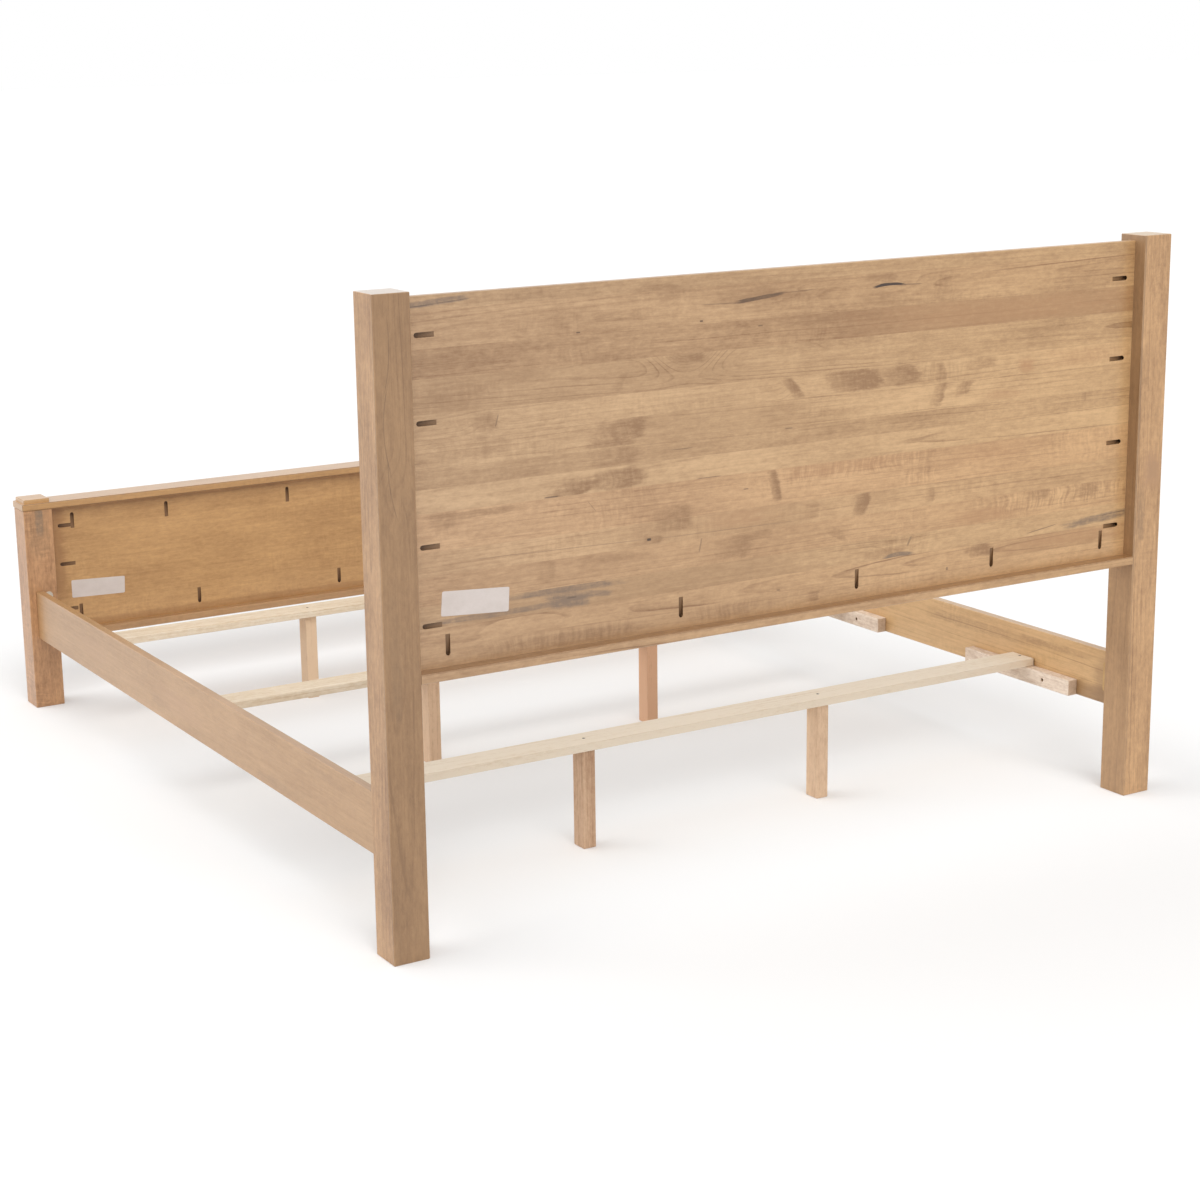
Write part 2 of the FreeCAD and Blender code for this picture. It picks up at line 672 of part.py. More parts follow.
def side_rail(side):
    """Board on edge between a head post and a foot post."""
    rail = eased_box(
        (side * RAIL_OUTER_X, -POST_INNER_Y, RAIL_BOTTOM),
        (side * RAIL_INNER_X, POST_INNER_Y, RAIL_TOP),
        WOOD_EASE,
    )
    cutters = []
    for end in ENDS.values():
        cutters += bracket_screw_holes(side, end)
    for middle in slat_middles().values():
        for seat in cleat_screw_seats(side, middle):
            cutters.append(screw_hole(seat, Vector(side, 0, 0), CLEAT_SCREW_LENGTH))
    return cut_all(rail, cutters)


def slat_screw_point(side, middle):
    """Point on a slat's top where its end is screwed to a cleat."""
    return Vector(side * (RAIL_INNER_X - CLEAT_THICKNESS / 2), middle, SLAT_TOP)


def slat_cleat(side, middle):
    """Block on a rail's inner face that carries a slat's end."""
    cleat = eased_box(
        (side * RAIL_INNER_X, middle - CLEAT_LENGTH / 2, RAIL_BOTTOM),
        (side * CLEAT_INNER_X, middle + CLEAT_LENGTH / 2, CLEAT_TOP),
        WOOD_EASE,
    )
    outward = Vector(side, 0, 0)
    cutters = []
    for point in cleat_screw_points(side, middle):
        start = point - outward * OVERRUN
        depth = CLEAT_COUNTERBORE_DEPTH + OVERRUN
        cutters.append(drilled(CLEAT_COUNTERBORE, start, outward, depth, BORE_SIDES))
    for seat in cleat_screw_seats(side, middle):
        cutters.append(screw_hole(seat, outward, CLEAT_SCREW_LENGTH))
    down = Vector(0, 0, -1)
    cutters.append(screw_hole(slat_screw_point(side, middle), down, SLAT_SCREW_LENGTH))
    return cut_all(cleat, cutters)


def leg_screw_point(side, middle):
    """Point on a slat's top where a leg is screwed on from above."""
    return Vector(side * LEG_OFFSET, middle, SLAT_TOP)


def slat(middle):
    """Flat slat across the bed, resting on two cleats and two legs."""
    board = eased_box(
        (-SLAT_END_X, middle - SLAT_WIDTH / 2, CLEAT_TOP),
        (SLAT_END_X, middle + SLAT_WIDTH / 2, SLAT_TOP),
        WOOD_EASE,
    )
    down = Vector(0, 0, -1)
    cutters = []
    for side in SIDES.values():
        cutters.append(countersunk_hole(slat_screw_point(side, middle), down, SLAT_SCREW_LENGTH))
        cutters.append(countersunk_hole(leg_screw_point(side, middle), down, LEG_SCREW_LENGTH))
    return cut_all(board, cutters)


def slat_leg(side, middle):
    """Square-cut leg from the floor to the underside of a slat."""
    centre = side * LEG_OFFSET
    leg = eased_box(
        (centre - LEG_WIDTH / 2, middle - LEG_DEPTH / 2, 0),
        (centre + LEG_WIDTH / 2, middle + LEG_DEPTH / 2, CLEAT_TOP),
        WOOD_EASE,
    )
    hole = screw_hole(leg_screw_point(side, middle), Vector(0, 0, -1), LEG_SCREW_LENGTH)
    return cut_all(leg, [hole])


def cleat_screws():
    """Screws from the cleats into the rails."""
    screws = []
    for side in SIDES.values():
        for middle in slat_middles().values():
            for seat in cleat_screw_seats(side, middle):
                screws.append(pan_screw(seat, Vector(side, 0, 0), CLEAT_SCREW_LENGTH))
    return screws


def slat_screws():
    """Screws from the slats' ends into the cleats."""
    down = Vector(0, 0, -1)
    screws = []
    for side in SIDES.values():
        for middle in slat_middles().values():
            screws.append(flat_screw(slat_screw_point(side, middle), down, SLAT_SCREW_LENGTH))
    return screws


def leg_screws():
    """Screws from the slats down into the legs."""
    down = Vector(0, 0, -1)
    screws = []
    for side in SIDES.values():
        for middle in slat_middles().values():
            screws.append(flat_screw(leg_screw_point(side, middle), down, LEG_SCREW_LENGTH))
    return screws


# The whole bed

def head_assembly():
    """Named solids of the headboard."""
    pockets = head_pockets()
    nodes = {}
    for name, side in SIDES.items():
        nodes["head_post_" + name] = head_post(side, pockets)
    for number, board in enumerate(head_boards(pockets), start=1):
        nodes["head_panel_board_%02d" % number] = board
    nodes["head_ledge_rail"] = head_ledge(pockets)
    nodes["head_pocket_screws"] = [pocket.screw() for pocket in pockets]
    nodes["head_ledge_dowels"] = ledge_dowels(1, 0)
    return nodes


def foot_assembly():
    """Named solids of the footboard."""
    pockets = foot_pockets()
    nodes = {}
    for name, side in SIDES.items():
        nodes["foot_post_" + name] = foot_post(side, pockets)
        nodes["foot_pad_" + name] = foot_pad(side)
    nodes["foot_panel"] = foot_panel(pockets)
    nodes["foot_cap_rail"] = foot_cap(pockets)
    nodes["foot_ledge_rail"] = foot_ledge(pockets)
    nodes["foot_pocket_screws"] = [pocket.screw() for pocket in pockets]
    nodes["foot_dowels"] = ledge_dowels(-1, 0) + cap_dowels(0)
    return nodes


def rail_assembly():
    """Named solids of the side rails and their fittings."""
    nodes = {}
    for side_name, side in SIDES.items():
        nodes["side_rail_" + side_name] = side_rail(side)
        for end_name, end in ENDS.items():
            place = end_name + "_" + side_name
            nodes["post_plate_" + place] = post_plate(side, end)
            nodes["rail_bracket_" + place] = rail_bracket(side, end)
    nodes["bracket_screws"] = bracket_screws()
    return nodes


def slat_assembly():
    """Named solids of the slats, their cleats and their legs."""
    nodes = {}
    for slat_name, middle in slat_middles().items():
        nodes["slat_" + slat_name] = slat(middle)
        for side_name, side in SIDES.items():
            place = slat_name + "_" + side_name
            nodes["slat_cleat_" + place] = slat_cleat(side, middle)
            nodes["slat_leg_" + place] = slat_leg(side, middle)
    nodes["cleat_screws"] = cleat_screws()
    nodes["slat_screws"] = slat_screws()
    nodes["leg_screws"] = leg_screws()
    return nodes


def write_nodes(nodes):
    """Write each named solid, or group of solids, to a file of its own."""
    os.makedirs("parts", exist_ok=True)
    for name, shape in nodes.items():
        solid = Part.makeCompound(shape) if isinstance(shape, list) else shape
        solid.exportStep(os.path.join("parts", name + ".step"))
        print("%-28s solids %2d volume %12.1f" % (name, len(solid.Solids), solid.Volume))


def main():
    """Build the bed's assemblies and write their parts."""
    nodes = {}
    for assembly in (head_assembly, foot_assembly, rail_assembly, slat_assembly):
        nodes.update(assembly())
    write_nodes(nodes)
    print("nodes", len(nodes))


main()
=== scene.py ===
"""Looks of a king-size panel bed frame in stained maple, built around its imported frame.

Everything is in metres. X runs across the bed, Y along it with the headboard at +Y,
Z is up, and the floor lies at zero. Right is +X, as seen from the foot of the bed.
"""
import logging
import math
import random
from dataclasses import dataclass, field, replace
from enum import Enum
from typing import Dict, List, Optional, Sequence, Tuple, Union

import bmesh
import bpy
import numpy as np
from mathutils import Matrix, Vector


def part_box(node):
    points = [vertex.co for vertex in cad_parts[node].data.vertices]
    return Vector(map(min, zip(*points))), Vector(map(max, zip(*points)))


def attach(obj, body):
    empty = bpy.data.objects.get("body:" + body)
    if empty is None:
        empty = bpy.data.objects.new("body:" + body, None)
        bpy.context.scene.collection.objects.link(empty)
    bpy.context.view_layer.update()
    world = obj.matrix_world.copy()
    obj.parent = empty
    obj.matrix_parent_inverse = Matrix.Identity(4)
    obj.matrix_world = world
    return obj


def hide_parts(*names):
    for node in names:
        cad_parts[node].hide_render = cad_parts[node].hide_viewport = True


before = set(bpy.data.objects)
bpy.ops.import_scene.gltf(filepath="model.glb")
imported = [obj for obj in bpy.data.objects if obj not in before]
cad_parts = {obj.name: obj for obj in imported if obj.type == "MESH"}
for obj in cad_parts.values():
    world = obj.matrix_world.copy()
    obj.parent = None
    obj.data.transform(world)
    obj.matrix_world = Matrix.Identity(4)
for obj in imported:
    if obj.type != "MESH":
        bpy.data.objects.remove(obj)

LOG = logging.getLogger("bed")
Colour = Tuple[float, float, float, float]
Triple = Tuple[float, float, float]
Box = Tuple[Vector, Vector]
Socket = bpy.types.NodeSocket
Value = Union[Socket, float, str, Sequence[float]]
Fed = Dict[Union[str, int], Value]


def srgb(red: float, green: float, blue: float) -> Colour:
    """Linear colour from display values.

    Args:
        red: red from 0 to 255.
        green: green from 0 to 255.
        blue: blue from 0 to 255.

    Returns:
        The linear red, green, blue and an alpha of one.
    """
    def linear(value: float) -> float:
        """Linear value of one display value."""
        share = value / 255.0
        return share / 12.92 if share <= 0.04045 else ((share + 0.055) / 1.055) ** 2.4

    return (linear(red), linear(green), linear(blue), 1.0)


def spaced(values: Dict[str, Value]) -> Fed:
    """Values by the names of their inputs, with spaces for the underscores."""
    return {name.replace("_", " "): value for name, value in values.items()}


def add_object(name: str, data: Optional[bpy.types.ID]) -> bpy.types.Object:
    """Add an object to the scene around its data.

    Args:
        name: the object's name.
        data: its mesh, camera or light.

    Returns:
        The new object.
    """
    made = bpy.data.objects.new(name, data)
    bpy.context.scene.collection.objects.link(made)
    return made


# Node graphs

class Graph:
    """A node tree under construction, with one short call for each kind of step."""

    def __init__(self, tree: bpy.types.NodeTree) -> None:
        """Start on a tree that takes the nodes."""
        self.tree = tree

    def node(self, kind: str, fed: Optional[Fed] = None, **settings: object) -> bpy.types.Node:
        """Add a node.

        Args:
            kind: Blender's name of the node type.
            fed: what its inputs get, by their name or number.
            **settings: properties to set on it first.

        Returns:
            The new node.
        """
        made = self.tree.nodes.new(kind)
        for name, value in settings.items():
            setattr(made, name, value)
        for name, value in (fed or {}).items():
            self.feed(made.inputs[name], value)
        return made

    def feed(self, socket: Socket, value: Value) -> None:
        """Link a socket to another, or set its value.

        Args:
            socket: the input to fill.
            value: an output socket, a number or a tuple.
        """
        if isinstance(value, bpy.types.NodeSocket):
            self.tree.links.new(value, socket)
        else:
            socket.default_value = value

    def math(self, operation: str, *values: Value, clamp: bool = False) -> Socket:
        """Number from a Math node's inputs, held between zero and one if it is clamped."""
        fed = dict(enumerate(values))
        return self.node("ShaderNodeMath", fed, operation=operation, use_clamp=clamp).outputs[0]

    def add(self, first: Value, second: Value) -> Socket:
        """Sum of two numbers."""
        return self.math("ADD", first, second)

    def less(self, first: Value, second: Value) -> Socket:
        """First number less the second."""
        return self.math("SUBTRACT", first, second)

    def times(self, first: Value, second: Value) -> Socket:
        """Product of two numbers."""
        return self.math("MULTIPLY", first, second)

    def scaled(self, value: Value, gain: Value, base: Value, clamp: bool = False) -> Socket:
        """A number times a gain, on top of a base."""
        return self.math("MULTIPLY_ADD", value, gain, base, clamp=clamp)

    def size(self, value: Value, power: float) -> Socket:
        """Size of a number without its sign, raised to a power."""
        return self.math("POWER", self.math("ABSOLUTE", value), power)

    def vector(self, operation: str, *values: Value) -> Socket:
        """Vector from a Vector Math node's inputs, or the number of a length or dot product."""
        made = self.node("ShaderNodeVectorMath", dict(enumerate(values)), operation=operation)
        return made.outputs["Value" if operation in ("LENGTH", "DOT_PRODUCT") else "Vector"]

    def combine(self, x: Value, y: Value, z: Value) -> Socket:
        """Vector from three numbers."""
        return self.node("ShaderNodeCombineXYZ", {0: x, 1: y, 2: z}).outputs[0]

    def separate(self, vector: Value) -> Tuple[Socket, Socket, Socket]:
        """Three numbers from a vector."""
        return tuple(self.node("ShaderNodeSeparateXYZ", {0: vector}).outputs)

    def mix(self, factor: Value, first: Value, second: Value) -> Socket:
        """Mix of two colours, by the share of the second one."""
        fed = {0: factor, 6: first, 7: second}
        return self.node("ShaderNodeMix", fed, data_type="RGBA", clamp_factor=True).outputs[2]

    def noise(self, vector: Value, stretch: Triple, detail: float = 2.0, roughness: float = 0.5) -> Socket:
        """Smooth noise around one half, stretched along the axes.

        Args:
            vector: where to look it up, in metres.
            stretch: how often it changes in a metre, along each axis.
            detail: number of finer layers.
            roughness: strength of each finer layer.

        Returns:
            The noise.
        """
        look = self.vector("MULTIPLY", vector, stretch)
        fed = {"Vector": look, "Scale": 1.0, "Detail": detail, "Roughness": roughness}
        return self.node("ShaderNodeTexNoise", fed).outputs[0]

    def swing(
        self, vector: Value, stretch: Triple, detail: float = 2.0, roughness: float = 0.5,
        gain: float = 2.0,
    ) -> Socket:
        """Noise moved to lie around zero and scaled by a gain, with the inputs of noise."""
        return self.times(self.less(self.noise(vector, stretch, detail, roughness), 0.5), gain)

    def step(self, value: Value, low: Value, high: Value) -> Socket:
        """Smooth step from zero at a low value to one at a high value."""
        fed = {0: value, 1: low, 2: high}
        return self.node("ShaderNodeMapRange", fed, interpolation_type="SMOOTHSTEP").outputs[0]

    def group(self, tree: bpy.types.NodeTree, **values: Value) -> bpy.types.Node:
        """Place a shader node group and feed the inputs that the values name."""
        return self.node("ShaderNodeGroup", spaced(values), node_tree=tree)


class GroupGraph(Graph):
    """A node group under construction, with its own named inputs and outputs."""

    def __init__(self, name: str, kind: str = "ShaderNodeTree") -> None:
        """Start an empty group.

        Args:
            name: the group's name.
            kind: ShaderNodeTree or GeometryNodeTree.
        """
        super().__init__(bpy.data.node_groups.new(name, kind))
        self.entry = self.node("NodeGroupInput")
        self.exit = self.node("NodeGroupOutput")

    def input(self, name: str, kind: str = "Float", default: Optional[Value] = None) -> Socket:
        """Add a named input and give its socket inside the group.

        Args:
            name: the input's name.
            kind: what its socket carries.
            default: its value where nothing is linked.

        Returns:
            The input's socket inside the group.
        """
        made = self.tree.interface.new_socket(name=name, in_out="INPUT", socket_type="NodeSocket" + kind)
        if default is not None:
            made.default_value = default
        return self.entry.outputs[name]

    def output(self, name: str, value: Socket, kind: str = "Float") -> None:
        """Add a named output and link a value to it."""
        self.tree.interface.new_socket(name=name, in_out="OUTPUT", socket_type="NodeSocket" + kind)
        self.tree.links.new(value, self.exit.inputs[name])


class SurfaceGraph(Graph):
    """A material under construction around its Principled BSDF."""

    def __init__(self, name: str) -> None:
        """Start a material with a name.

        Args:
            name: the material's name.
        """
        self.material = bpy.data.materials.new(name)
        self.material.use_nodes = True
        super().__init__(self.material.node_tree)

    def place(self) -> Socket:
        """Place on the piece, in metres of the bed's frame."""
        return self.node("ShaderNodeTexCoord").outputs["Object"]

    def relief(self, height: Socket, strength: float, rise: float) -> Socket:
        """Normal bent by a relief, where a height of one stands for the rise in metres."""
        fed = {"Strength": strength, "Distance": rise, "Height": height}
        return self.node("ShaderNodeBump", fed).outputs[0]

    def finish(self, **values: Value) -> bpy.types.Material:
        """Fill the shader.

        Args:
            **values: its inputs, with underscores for the spaces in their names.

        Returns:
            The finished material.
        """
        shader = self.tree.nodes["Principled BSDF"]
        for name, value in spaced(values).items():
            self.feed(shader.inputs[name], value)
        return self.material


# Shared effects

class WoodEffects:
    """Shader groups that all wood finishes share, in metres of board space.

    Board space runs along the grain first, then across the board, then into it.
    """

    SEED_STEPS: Triple = (3.17, 1.31, 2.23)
    LINE_RISE = (0.66, 0.94)
    LINE_FALL = (0.95, 1.0)
    LINE_FADE = (0.34, 0.62)
    PORE_EDGE = (0.6, 0.74)
    PATCH_EDGE = (0.46, 0.66)
    FADE_RUN = (-0.6, 1.1)
    FADE_GAIN = (-0.6, 1.05)
    RAGGED = (0.5, 0.24)
    CORNER_POWER = 4.5
    DEPTH_POWER = 6.0
    SOFT_REACH = 1.5
    BELL_DROP = -1.2
    NICK_DEPTH = 1.2
    WORN_SHARE = 0.3
    END_REACH = (0.0001, 0.0006)

    def __init__(self) -> None:
        """Build every group once."""
        self.rings = self._rings()
        self.fibre = self._fibre()
        self.figure = self._figure()
        self.spot = self._spot()
        self.edges = self._edges()

    def _shifted(self, graph: Graph, vector: Socket, seed: Socket) -> Socket:
        """Move a lookup by a seed, so that no two boards share their pattern."""
        steps = (graph.times(seed, step) for step in self.SEED_STEPS)
        return graph.vector("ADD", vector, graph.combine(*steps))

    def _rings(self) -> bpy.types.NodeTree:
        """Growth rings around a leaning pith, as thin lines that come and go.

        Returns:
            The group's tree.
        """
        graph = GroupGraph("growth_rings")
        vector = graph.input("Vector", "Vector")
        seed = graph.input("Seed")
        pith = graph.input("Pith", "Vector")
        lean = graph.input("Lean", "Vector")
        spacing = graph.input("Spacing", default=0.008)
        wander = graph.input("Wander", default=0.006)
        bulge = graph.input("Bulge")
        look = self._shifted(graph, vector, seed)
        slow = graph.swing(look, (1.6, 9.0, 9.0), 1.0)
        quick = graph.swing(look, (8.0, 34.0, 34.0), 3.0, 0.55, gain=0.5)
        along, _, _ = graph.separate(vector)
        away = graph.vector("SUBTRACT", vector, pith)
        leant = graph.vector("MULTIPLY", lean, graph.combine(along, along, along))
        away = graph.vector("ADD", away, leant)
        away = graph.vector("MULTIPLY", away, (0.0, 1.0, 1.0))
        shift = graph.times(graph.add(slow, quick), wander)
        radius = graph.add(graph.vector("LENGTH", away), graph.add(shift, bulge))
        phase = graph.math("DIVIDE", radius, spacing)
        share = graph.math("FRACT", phase)
        line = graph.less(graph.step(share, *self.LINE_RISE), graph.step(share, *self.LINE_FALL))
        ring = graph.add(graph.math("FLOOR", phase), seed)
        white = graph.node("ShaderNodeTexWhiteNoise", {"W": ring}, noise_dimensions="1D").outputs["Value"]
        strength = graph.scaled(graph.math("POWER", white, 1.6), 0.9, 0.1)
        fade = graph.step(graph.noise(look, (2.6, 22.0, 22.0), 3.0, 0.6), *self.LINE_FADE)
        graph.output("Line", graph.times(line, graph.times(strength, fade)))
        return graph.tree

    def _fibre(self) -> bpy.types.NodeTree:
        """Streaks, fine fibres and pores along the grain.

        Returns:
            The group's tree.
        """
        graph = GroupGraph("wood_fibre")
        vector = graph.input("Vector", "Vector")
        look = self._shifted(graph, vector, graph.input("Seed"))
        broad = graph.swing(look, (4.0, 150.0, 150.0), 4.0, 0.66)
        fine = graph.swing(look, (24.0, 380.0, 380.0), 3.0, 0.62)
        pores = graph.step(graph.noise(look, (60.0, 1300.0, 1300.0), 1.0), *self.PORE_EDGE)
        graph.output("Streak", graph.scaled(fine, 0.5, broad))
        graph.output("Pores", pores)
        graph.output("Height", graph.less(graph.times(fine, 0.5), graph.times(pores, 0.8)))
        return graph.tree

    def _figure(self) -> bpy.types.NodeTree:
        """Uneven stain, cross-grain ripple where it shows, and the noise that frays marks.

        Returns:
            The group's tree.
        """
        graph = GroupGraph("wood_figure")
        vector = graph.input("Vector", "Vector")
        look = self._shifted(graph, vector, graph.input("Seed"))
        wave = graph.combine(graph.noise(look, (6.0, 24.0, 24.0), 2.0), 0.0, 0.0)
        bent = graph.vector("ADD", look, graph.vector("MULTIPLY", wave, (0.03, 0.0, 0.0)))
        for name, place, stretch, detail, roughness, gain in (
            ("Cloud", look, (4.2, 13.0, 13.0), 4.0, 0.58, 3.0),
            ("Speckle", look, (46.0, 115.0, 115.0), 4.0, 0.76, 3.0),
            ("Ripple", bent, (135.0, 15.0, 15.0), 2.0, 0.55, 2.8),
            ("Tear", look, (7.0, 130.0, 130.0), 4.0, 0.65, 2.2),
            ("Fray", look, (20.0, 42.0, 42.0), 5.0, 0.62, 2.2),
        ):
            graph.output(name, graph.swing(place, stretch, detail, roughness, gain))
        patches = graph.noise(look, (3.8, 10.0, 10.0), 3.0, 0.6)
        graph.output("Patches", graph.step(patches, *self.PATCH_EDGE))
        return graph.tree

    def _spot(self) -> bpy.types.NodeTree:
        """One placed mark with frayed edges, its fading, and a soft bell over the same place.

        Returns:
            The group's tree.
        """
        graph = GroupGraph("placed_mark")
        vector = graph.input("Vector", "Vector")
        centre = graph.input("Centre", "Vector")
        half = graph.input("Half Size", "Vector", (0.05, 0.01, 1.0))
        names = ("Slant", "Tilt", "Bend", "Tear", "Fray")
        slant, tilt, bend, tear, fray = (graph.input(name) for name in names)
        soft = graph.input("Soft", default=0.4)
        away = graph.vector("SUBTRACT", vector, centre)
        _, across, _ = graph.separate(away)
        away = graph.vector("ADD", away, graph.combine(graph.times(across, slant), 0.0, 0.0))
        shared = graph.vector("DIVIDE", away, half)
        x, y, z = graph.separate(shared)
        y = graph.scaled(x, tilt, y)
        y = graph.scaled(graph.times(x, x), bend, y)
        graph.output("Fade", graph.scaled(graph.step(x, *self.FADE_RUN), *self.FADE_GAIN))
        ragged = graph.scaled(soft, *self.RAGGED)
        y = graph.scaled(fray, ragged, y)
        x = graph.add(x, graph.times(graph.add(tear, fray), ragged))
        far = graph.add(graph.size(x, self.CORNER_POWER), graph.size(y, self.CORNER_POWER))
        far = graph.math("POWER", graph.add(far, graph.size(z, self.DEPTH_POWER)), 1.0 / self.CORNER_POWER)
        near = graph.less(1.0, soft)
        out = graph.step(far, near, graph.add(near, graph.times(soft, self.SOFT_REACH)))
        graph.output("Mask", graph.less(1.0, out))
        square = graph.vector("DOT_PRODUCT", shared, shared)
        graph.output("Bell", graph.math("POWER", 2.718, graph.times(square, self.BELL_DROP)))
        return graph.tree

    def _edges(self) -> bpy.types.NodeTree:
        """Rubbed edges that also carry a painted highlight, a piece's end faces, and the depth of faces
        sunk inside it.

        Returns:
            The group's tree.
        """
        graph = GroupGraph("edge_wear")
        names = ("Vector", "Low", "High", "Grain")
        vector, low, high, grain = (graph.input(name, "Vector") for name in names)
        width = graph.input("Width", default=0.003)
        above, below = graph.vector("SUBTRACT", vector, low), graph.vector("SUBTRACT", high, vector)
        gap = graph.vector("ABSOLUTE", graph.vector("MINIMUM", above, below))
        x, y, z = graph.separate(gap)
        least, most = graph.math("MINIMUM", x, y), graph.math("MAXIMUM", x, y)
        middle = graph.math("MINIMUM", most, graph.math("MAXIMUM", least, z))
        nicks = graph.swing(vector, (38.0, 38.0, 38.0), 3.0, 0.6)
        reach = graph.times(width, graph.scaled(nicks, self.NICK_DEPTH, 1.0))
        # Mask of the rubbed edges, which also carry a painted highlight.
        worn = graph.step(middle, graph.times(reach, self.WORN_SHARE), reach)
        graph.output("Wear", graph.less(1.0, worn))
        graph.output("Depth", graph.math("MINIMUM", least, z))
        to_end = graph.vector("DOT_PRODUCT", gap, grain)
        graph.output("End", graph.less(1.0, graph.step(to_end, *self.END_REACH)))
        return graph.tree


# Finishes

class GrainAxis(Enum):
    """The bed axis that a piece's grain runs along."""

    X = 0
    Y = 1
    Z = 2


class MarkKind(Enum):
    """What a placed mark in the wood is, with how soft its edges are."""

    CLOUD = 0.29
    RIPPLE = 0.6
    MINERAL = 0.35
    # Shade marks darken evenly without break-up; they paint shade in recesses, beside posts and under
    # parts, and plain tone elsewhere.
    SHADE = 0.36
    BLUSH = 0.7
    SPLIT = 0.3
    SWIRL = 0.5


# One letter for each kind, for the rows of marks below.
C, R, M, S, W, B, T = (
    MarkKind.CLOUD, MarkKind.RIPPLE, MarkKind.MINERAL, MarkKind.SPLIT, MarkKind.SWIRL, MarkKind.BLUSH,
    MarkKind.SHADE,
)


@dataclass(frozen=True)
class Mark:
    """One placed mark: its kind, its middle, its half sizes, its strength and its lie."""

    kind: MarkKind
    along: float
    across: float
    half_length: float
    half_width: float
    strength: float = 1.0
    slant: float = 0.0
    tilt: float = 0.0
    bend: float = 0.0
    level: float = 0.0
    half_depth: float = 9.0


def spots(*rows: tuple) -> Tuple[Mark, ...]:
    """Marks from rows of their values, in the order of the fields."""
    return tuple(Mark(*row) for row in rows)


@dataclass(frozen=True)
class Board:
    """How one piece of wood differs from its neighbours."""

    seed: int
    stain: float = 0.4
    warmth: float = 0.0
    rings: float = 1.0
    ripple: float = 1.0
    spacing: float = 0.0085
    depth: float = 0.07
    offset: float = 0.11
    lean: float = 0.012
    marks: Tuple[Mark, ...] = ()


class BoardSurface(SurfaceGraph):
    """Material of one board under construction, with the patterns and masks that shape its looks."""

    SWELL: Dict[MarkKind, float] = {W: 0.012, S: 0.004}
    MARK_RIPPLE = 2.2
    SQUARE = 0.002

    def __init__(
        self, name: str, effects: WoodEffects, grain: GrainAxis, board: Board, outline: Box, own: Box,
        wear: float,
    ) -> None:
        """Place the shared groups with the board's own values.

        Args:
            name: the material's name.
            effects: the shared shader groups.
            grain: the axis that the grain follows.
            board: what sets this piece apart.
            outline: corners of the box whose edges are worn.
            own: corners of the board's own box, which place its pith.
            wear: width of the rubbed edges, which carry a painted highlight.
        """
        super().__init__(name)
        self.board, self.own, self.order = board, own, self._order(grain, own)
        place = self.place()
        parts = self.separate(place)
        self.space = self.combine(*(parts[index] for index in self.order))
        seed = float(board.seed)
        self.figure = self.group(effects.figure, Vector=self.space, Seed=seed).outputs
        self.fibre = self.group(effects.fibre, Vector=self.space, Seed=seed).outputs
        self.marks = [(mark, self._spot(effects, mark)) for mark in board.marks]
        self.line = self._rings(effects, seed)
        self.edges = self.group(
            effects.edges, Vector=place, Low=tuple(outline[0]), High=tuple(outline[1]),
            Grain=tuple(float(index == grain.value) for index in range(3)), Width=wear,
        ).outputs

    def _order(self, grain: GrainAxis, own: Box) -> Tuple[int, int, int]:
        """Axes in board space: along the grain, across the wider side, into the board.

        Args:
            grain: the axis that the grain follows.
            own: corners of the board's own box.

        Returns:
            The bed's axes in that order.
        """
        size = own[1] - own[0]
        rest = [index for index in range(3) if index != grain.value]
        rest.sort(key=lambda index: -size[index])
        if abs(size[rest[0]] - size[rest[1]]) < self.SQUARE:
            rest.sort()
        return (grain.value, rest[0], rest[1])

    def _spot(self, effects: WoodEffects, mark: Mark) -> bpy.types.NodeOutputs:
        """Place one mark's group and give its outputs.

        Args:
            effects: the shared shader groups.
            mark: the mark to place.

        Returns:
            The group's outputs.
        """
        return self.group(
            effects.spot, Vector=self.space, Centre=(mark.along, mark.across, mark.level),
            Half_Size=(mark.half_length, mark.half_width, mark.half_depth),
            Slant=mark.slant, Tilt=mark.tilt, Bend=mark.bend,
            Tear=self.figure["Tear"], Fray=self.figure["Fray"], Soft=mark.kind.value,
        ).outputs

    def _rings(self, effects: WoodEffects, seed: float) -> Socket:
        """Ring lines around the board's own pith, bulging at swirls and splits.

        Args:
            effects: the shared shader groups.
            seed: the board's own seed.

        Returns:
            How much of a ring line shows.
        """
        board, turns = self.board, random.Random(self.board.seed)
        middle = [(self.own[0][index] + self.own[1][index]) / 2 for index in self.order]
        lean = (0.0, turns.uniform(-1.0, 1.0) * board.lean, board.lean * turns.choice((-1, 1)))
        pith = (0.0, middle[1] + board.offset * turns.choice((-1, 1)), middle[2] - board.depth)
        bulge: Value = 0.0
        for mark, spot in self.marks:
            if mark.kind in self.SWELL:
                swell = self.SWELL[mark.kind] * (mark.strength if mark.kind is MarkKind.SWIRL else 1.0)
                bulge = self.scaled(spot["Bell"], swell, bulge)
        rings = self.group(
            effects.rings, Vector=self.space, Seed=seed, Pith=pith, Lean=lean, Spacing=board.spacing,
            Bulge=bulge,
        )
        return rings.outputs["Line"]

    def waves(self) -> Socket:
        """Cross-grain ripple, where the figure or a mark shows it.

        Returns:
            The ripple's tone.
        """
        ripple: Value = self.times(self.figure["Patches"], self.board.ripple)
        for mark, spot in self.marks:
            if mark.kind is MarkKind.RIPPLE:
                ripple = self.scaled(spot["Mask"], self.MARK_RIPPLE * mark.strength, ripple)
        return self.times(self.figure["Ripple"], ripple)


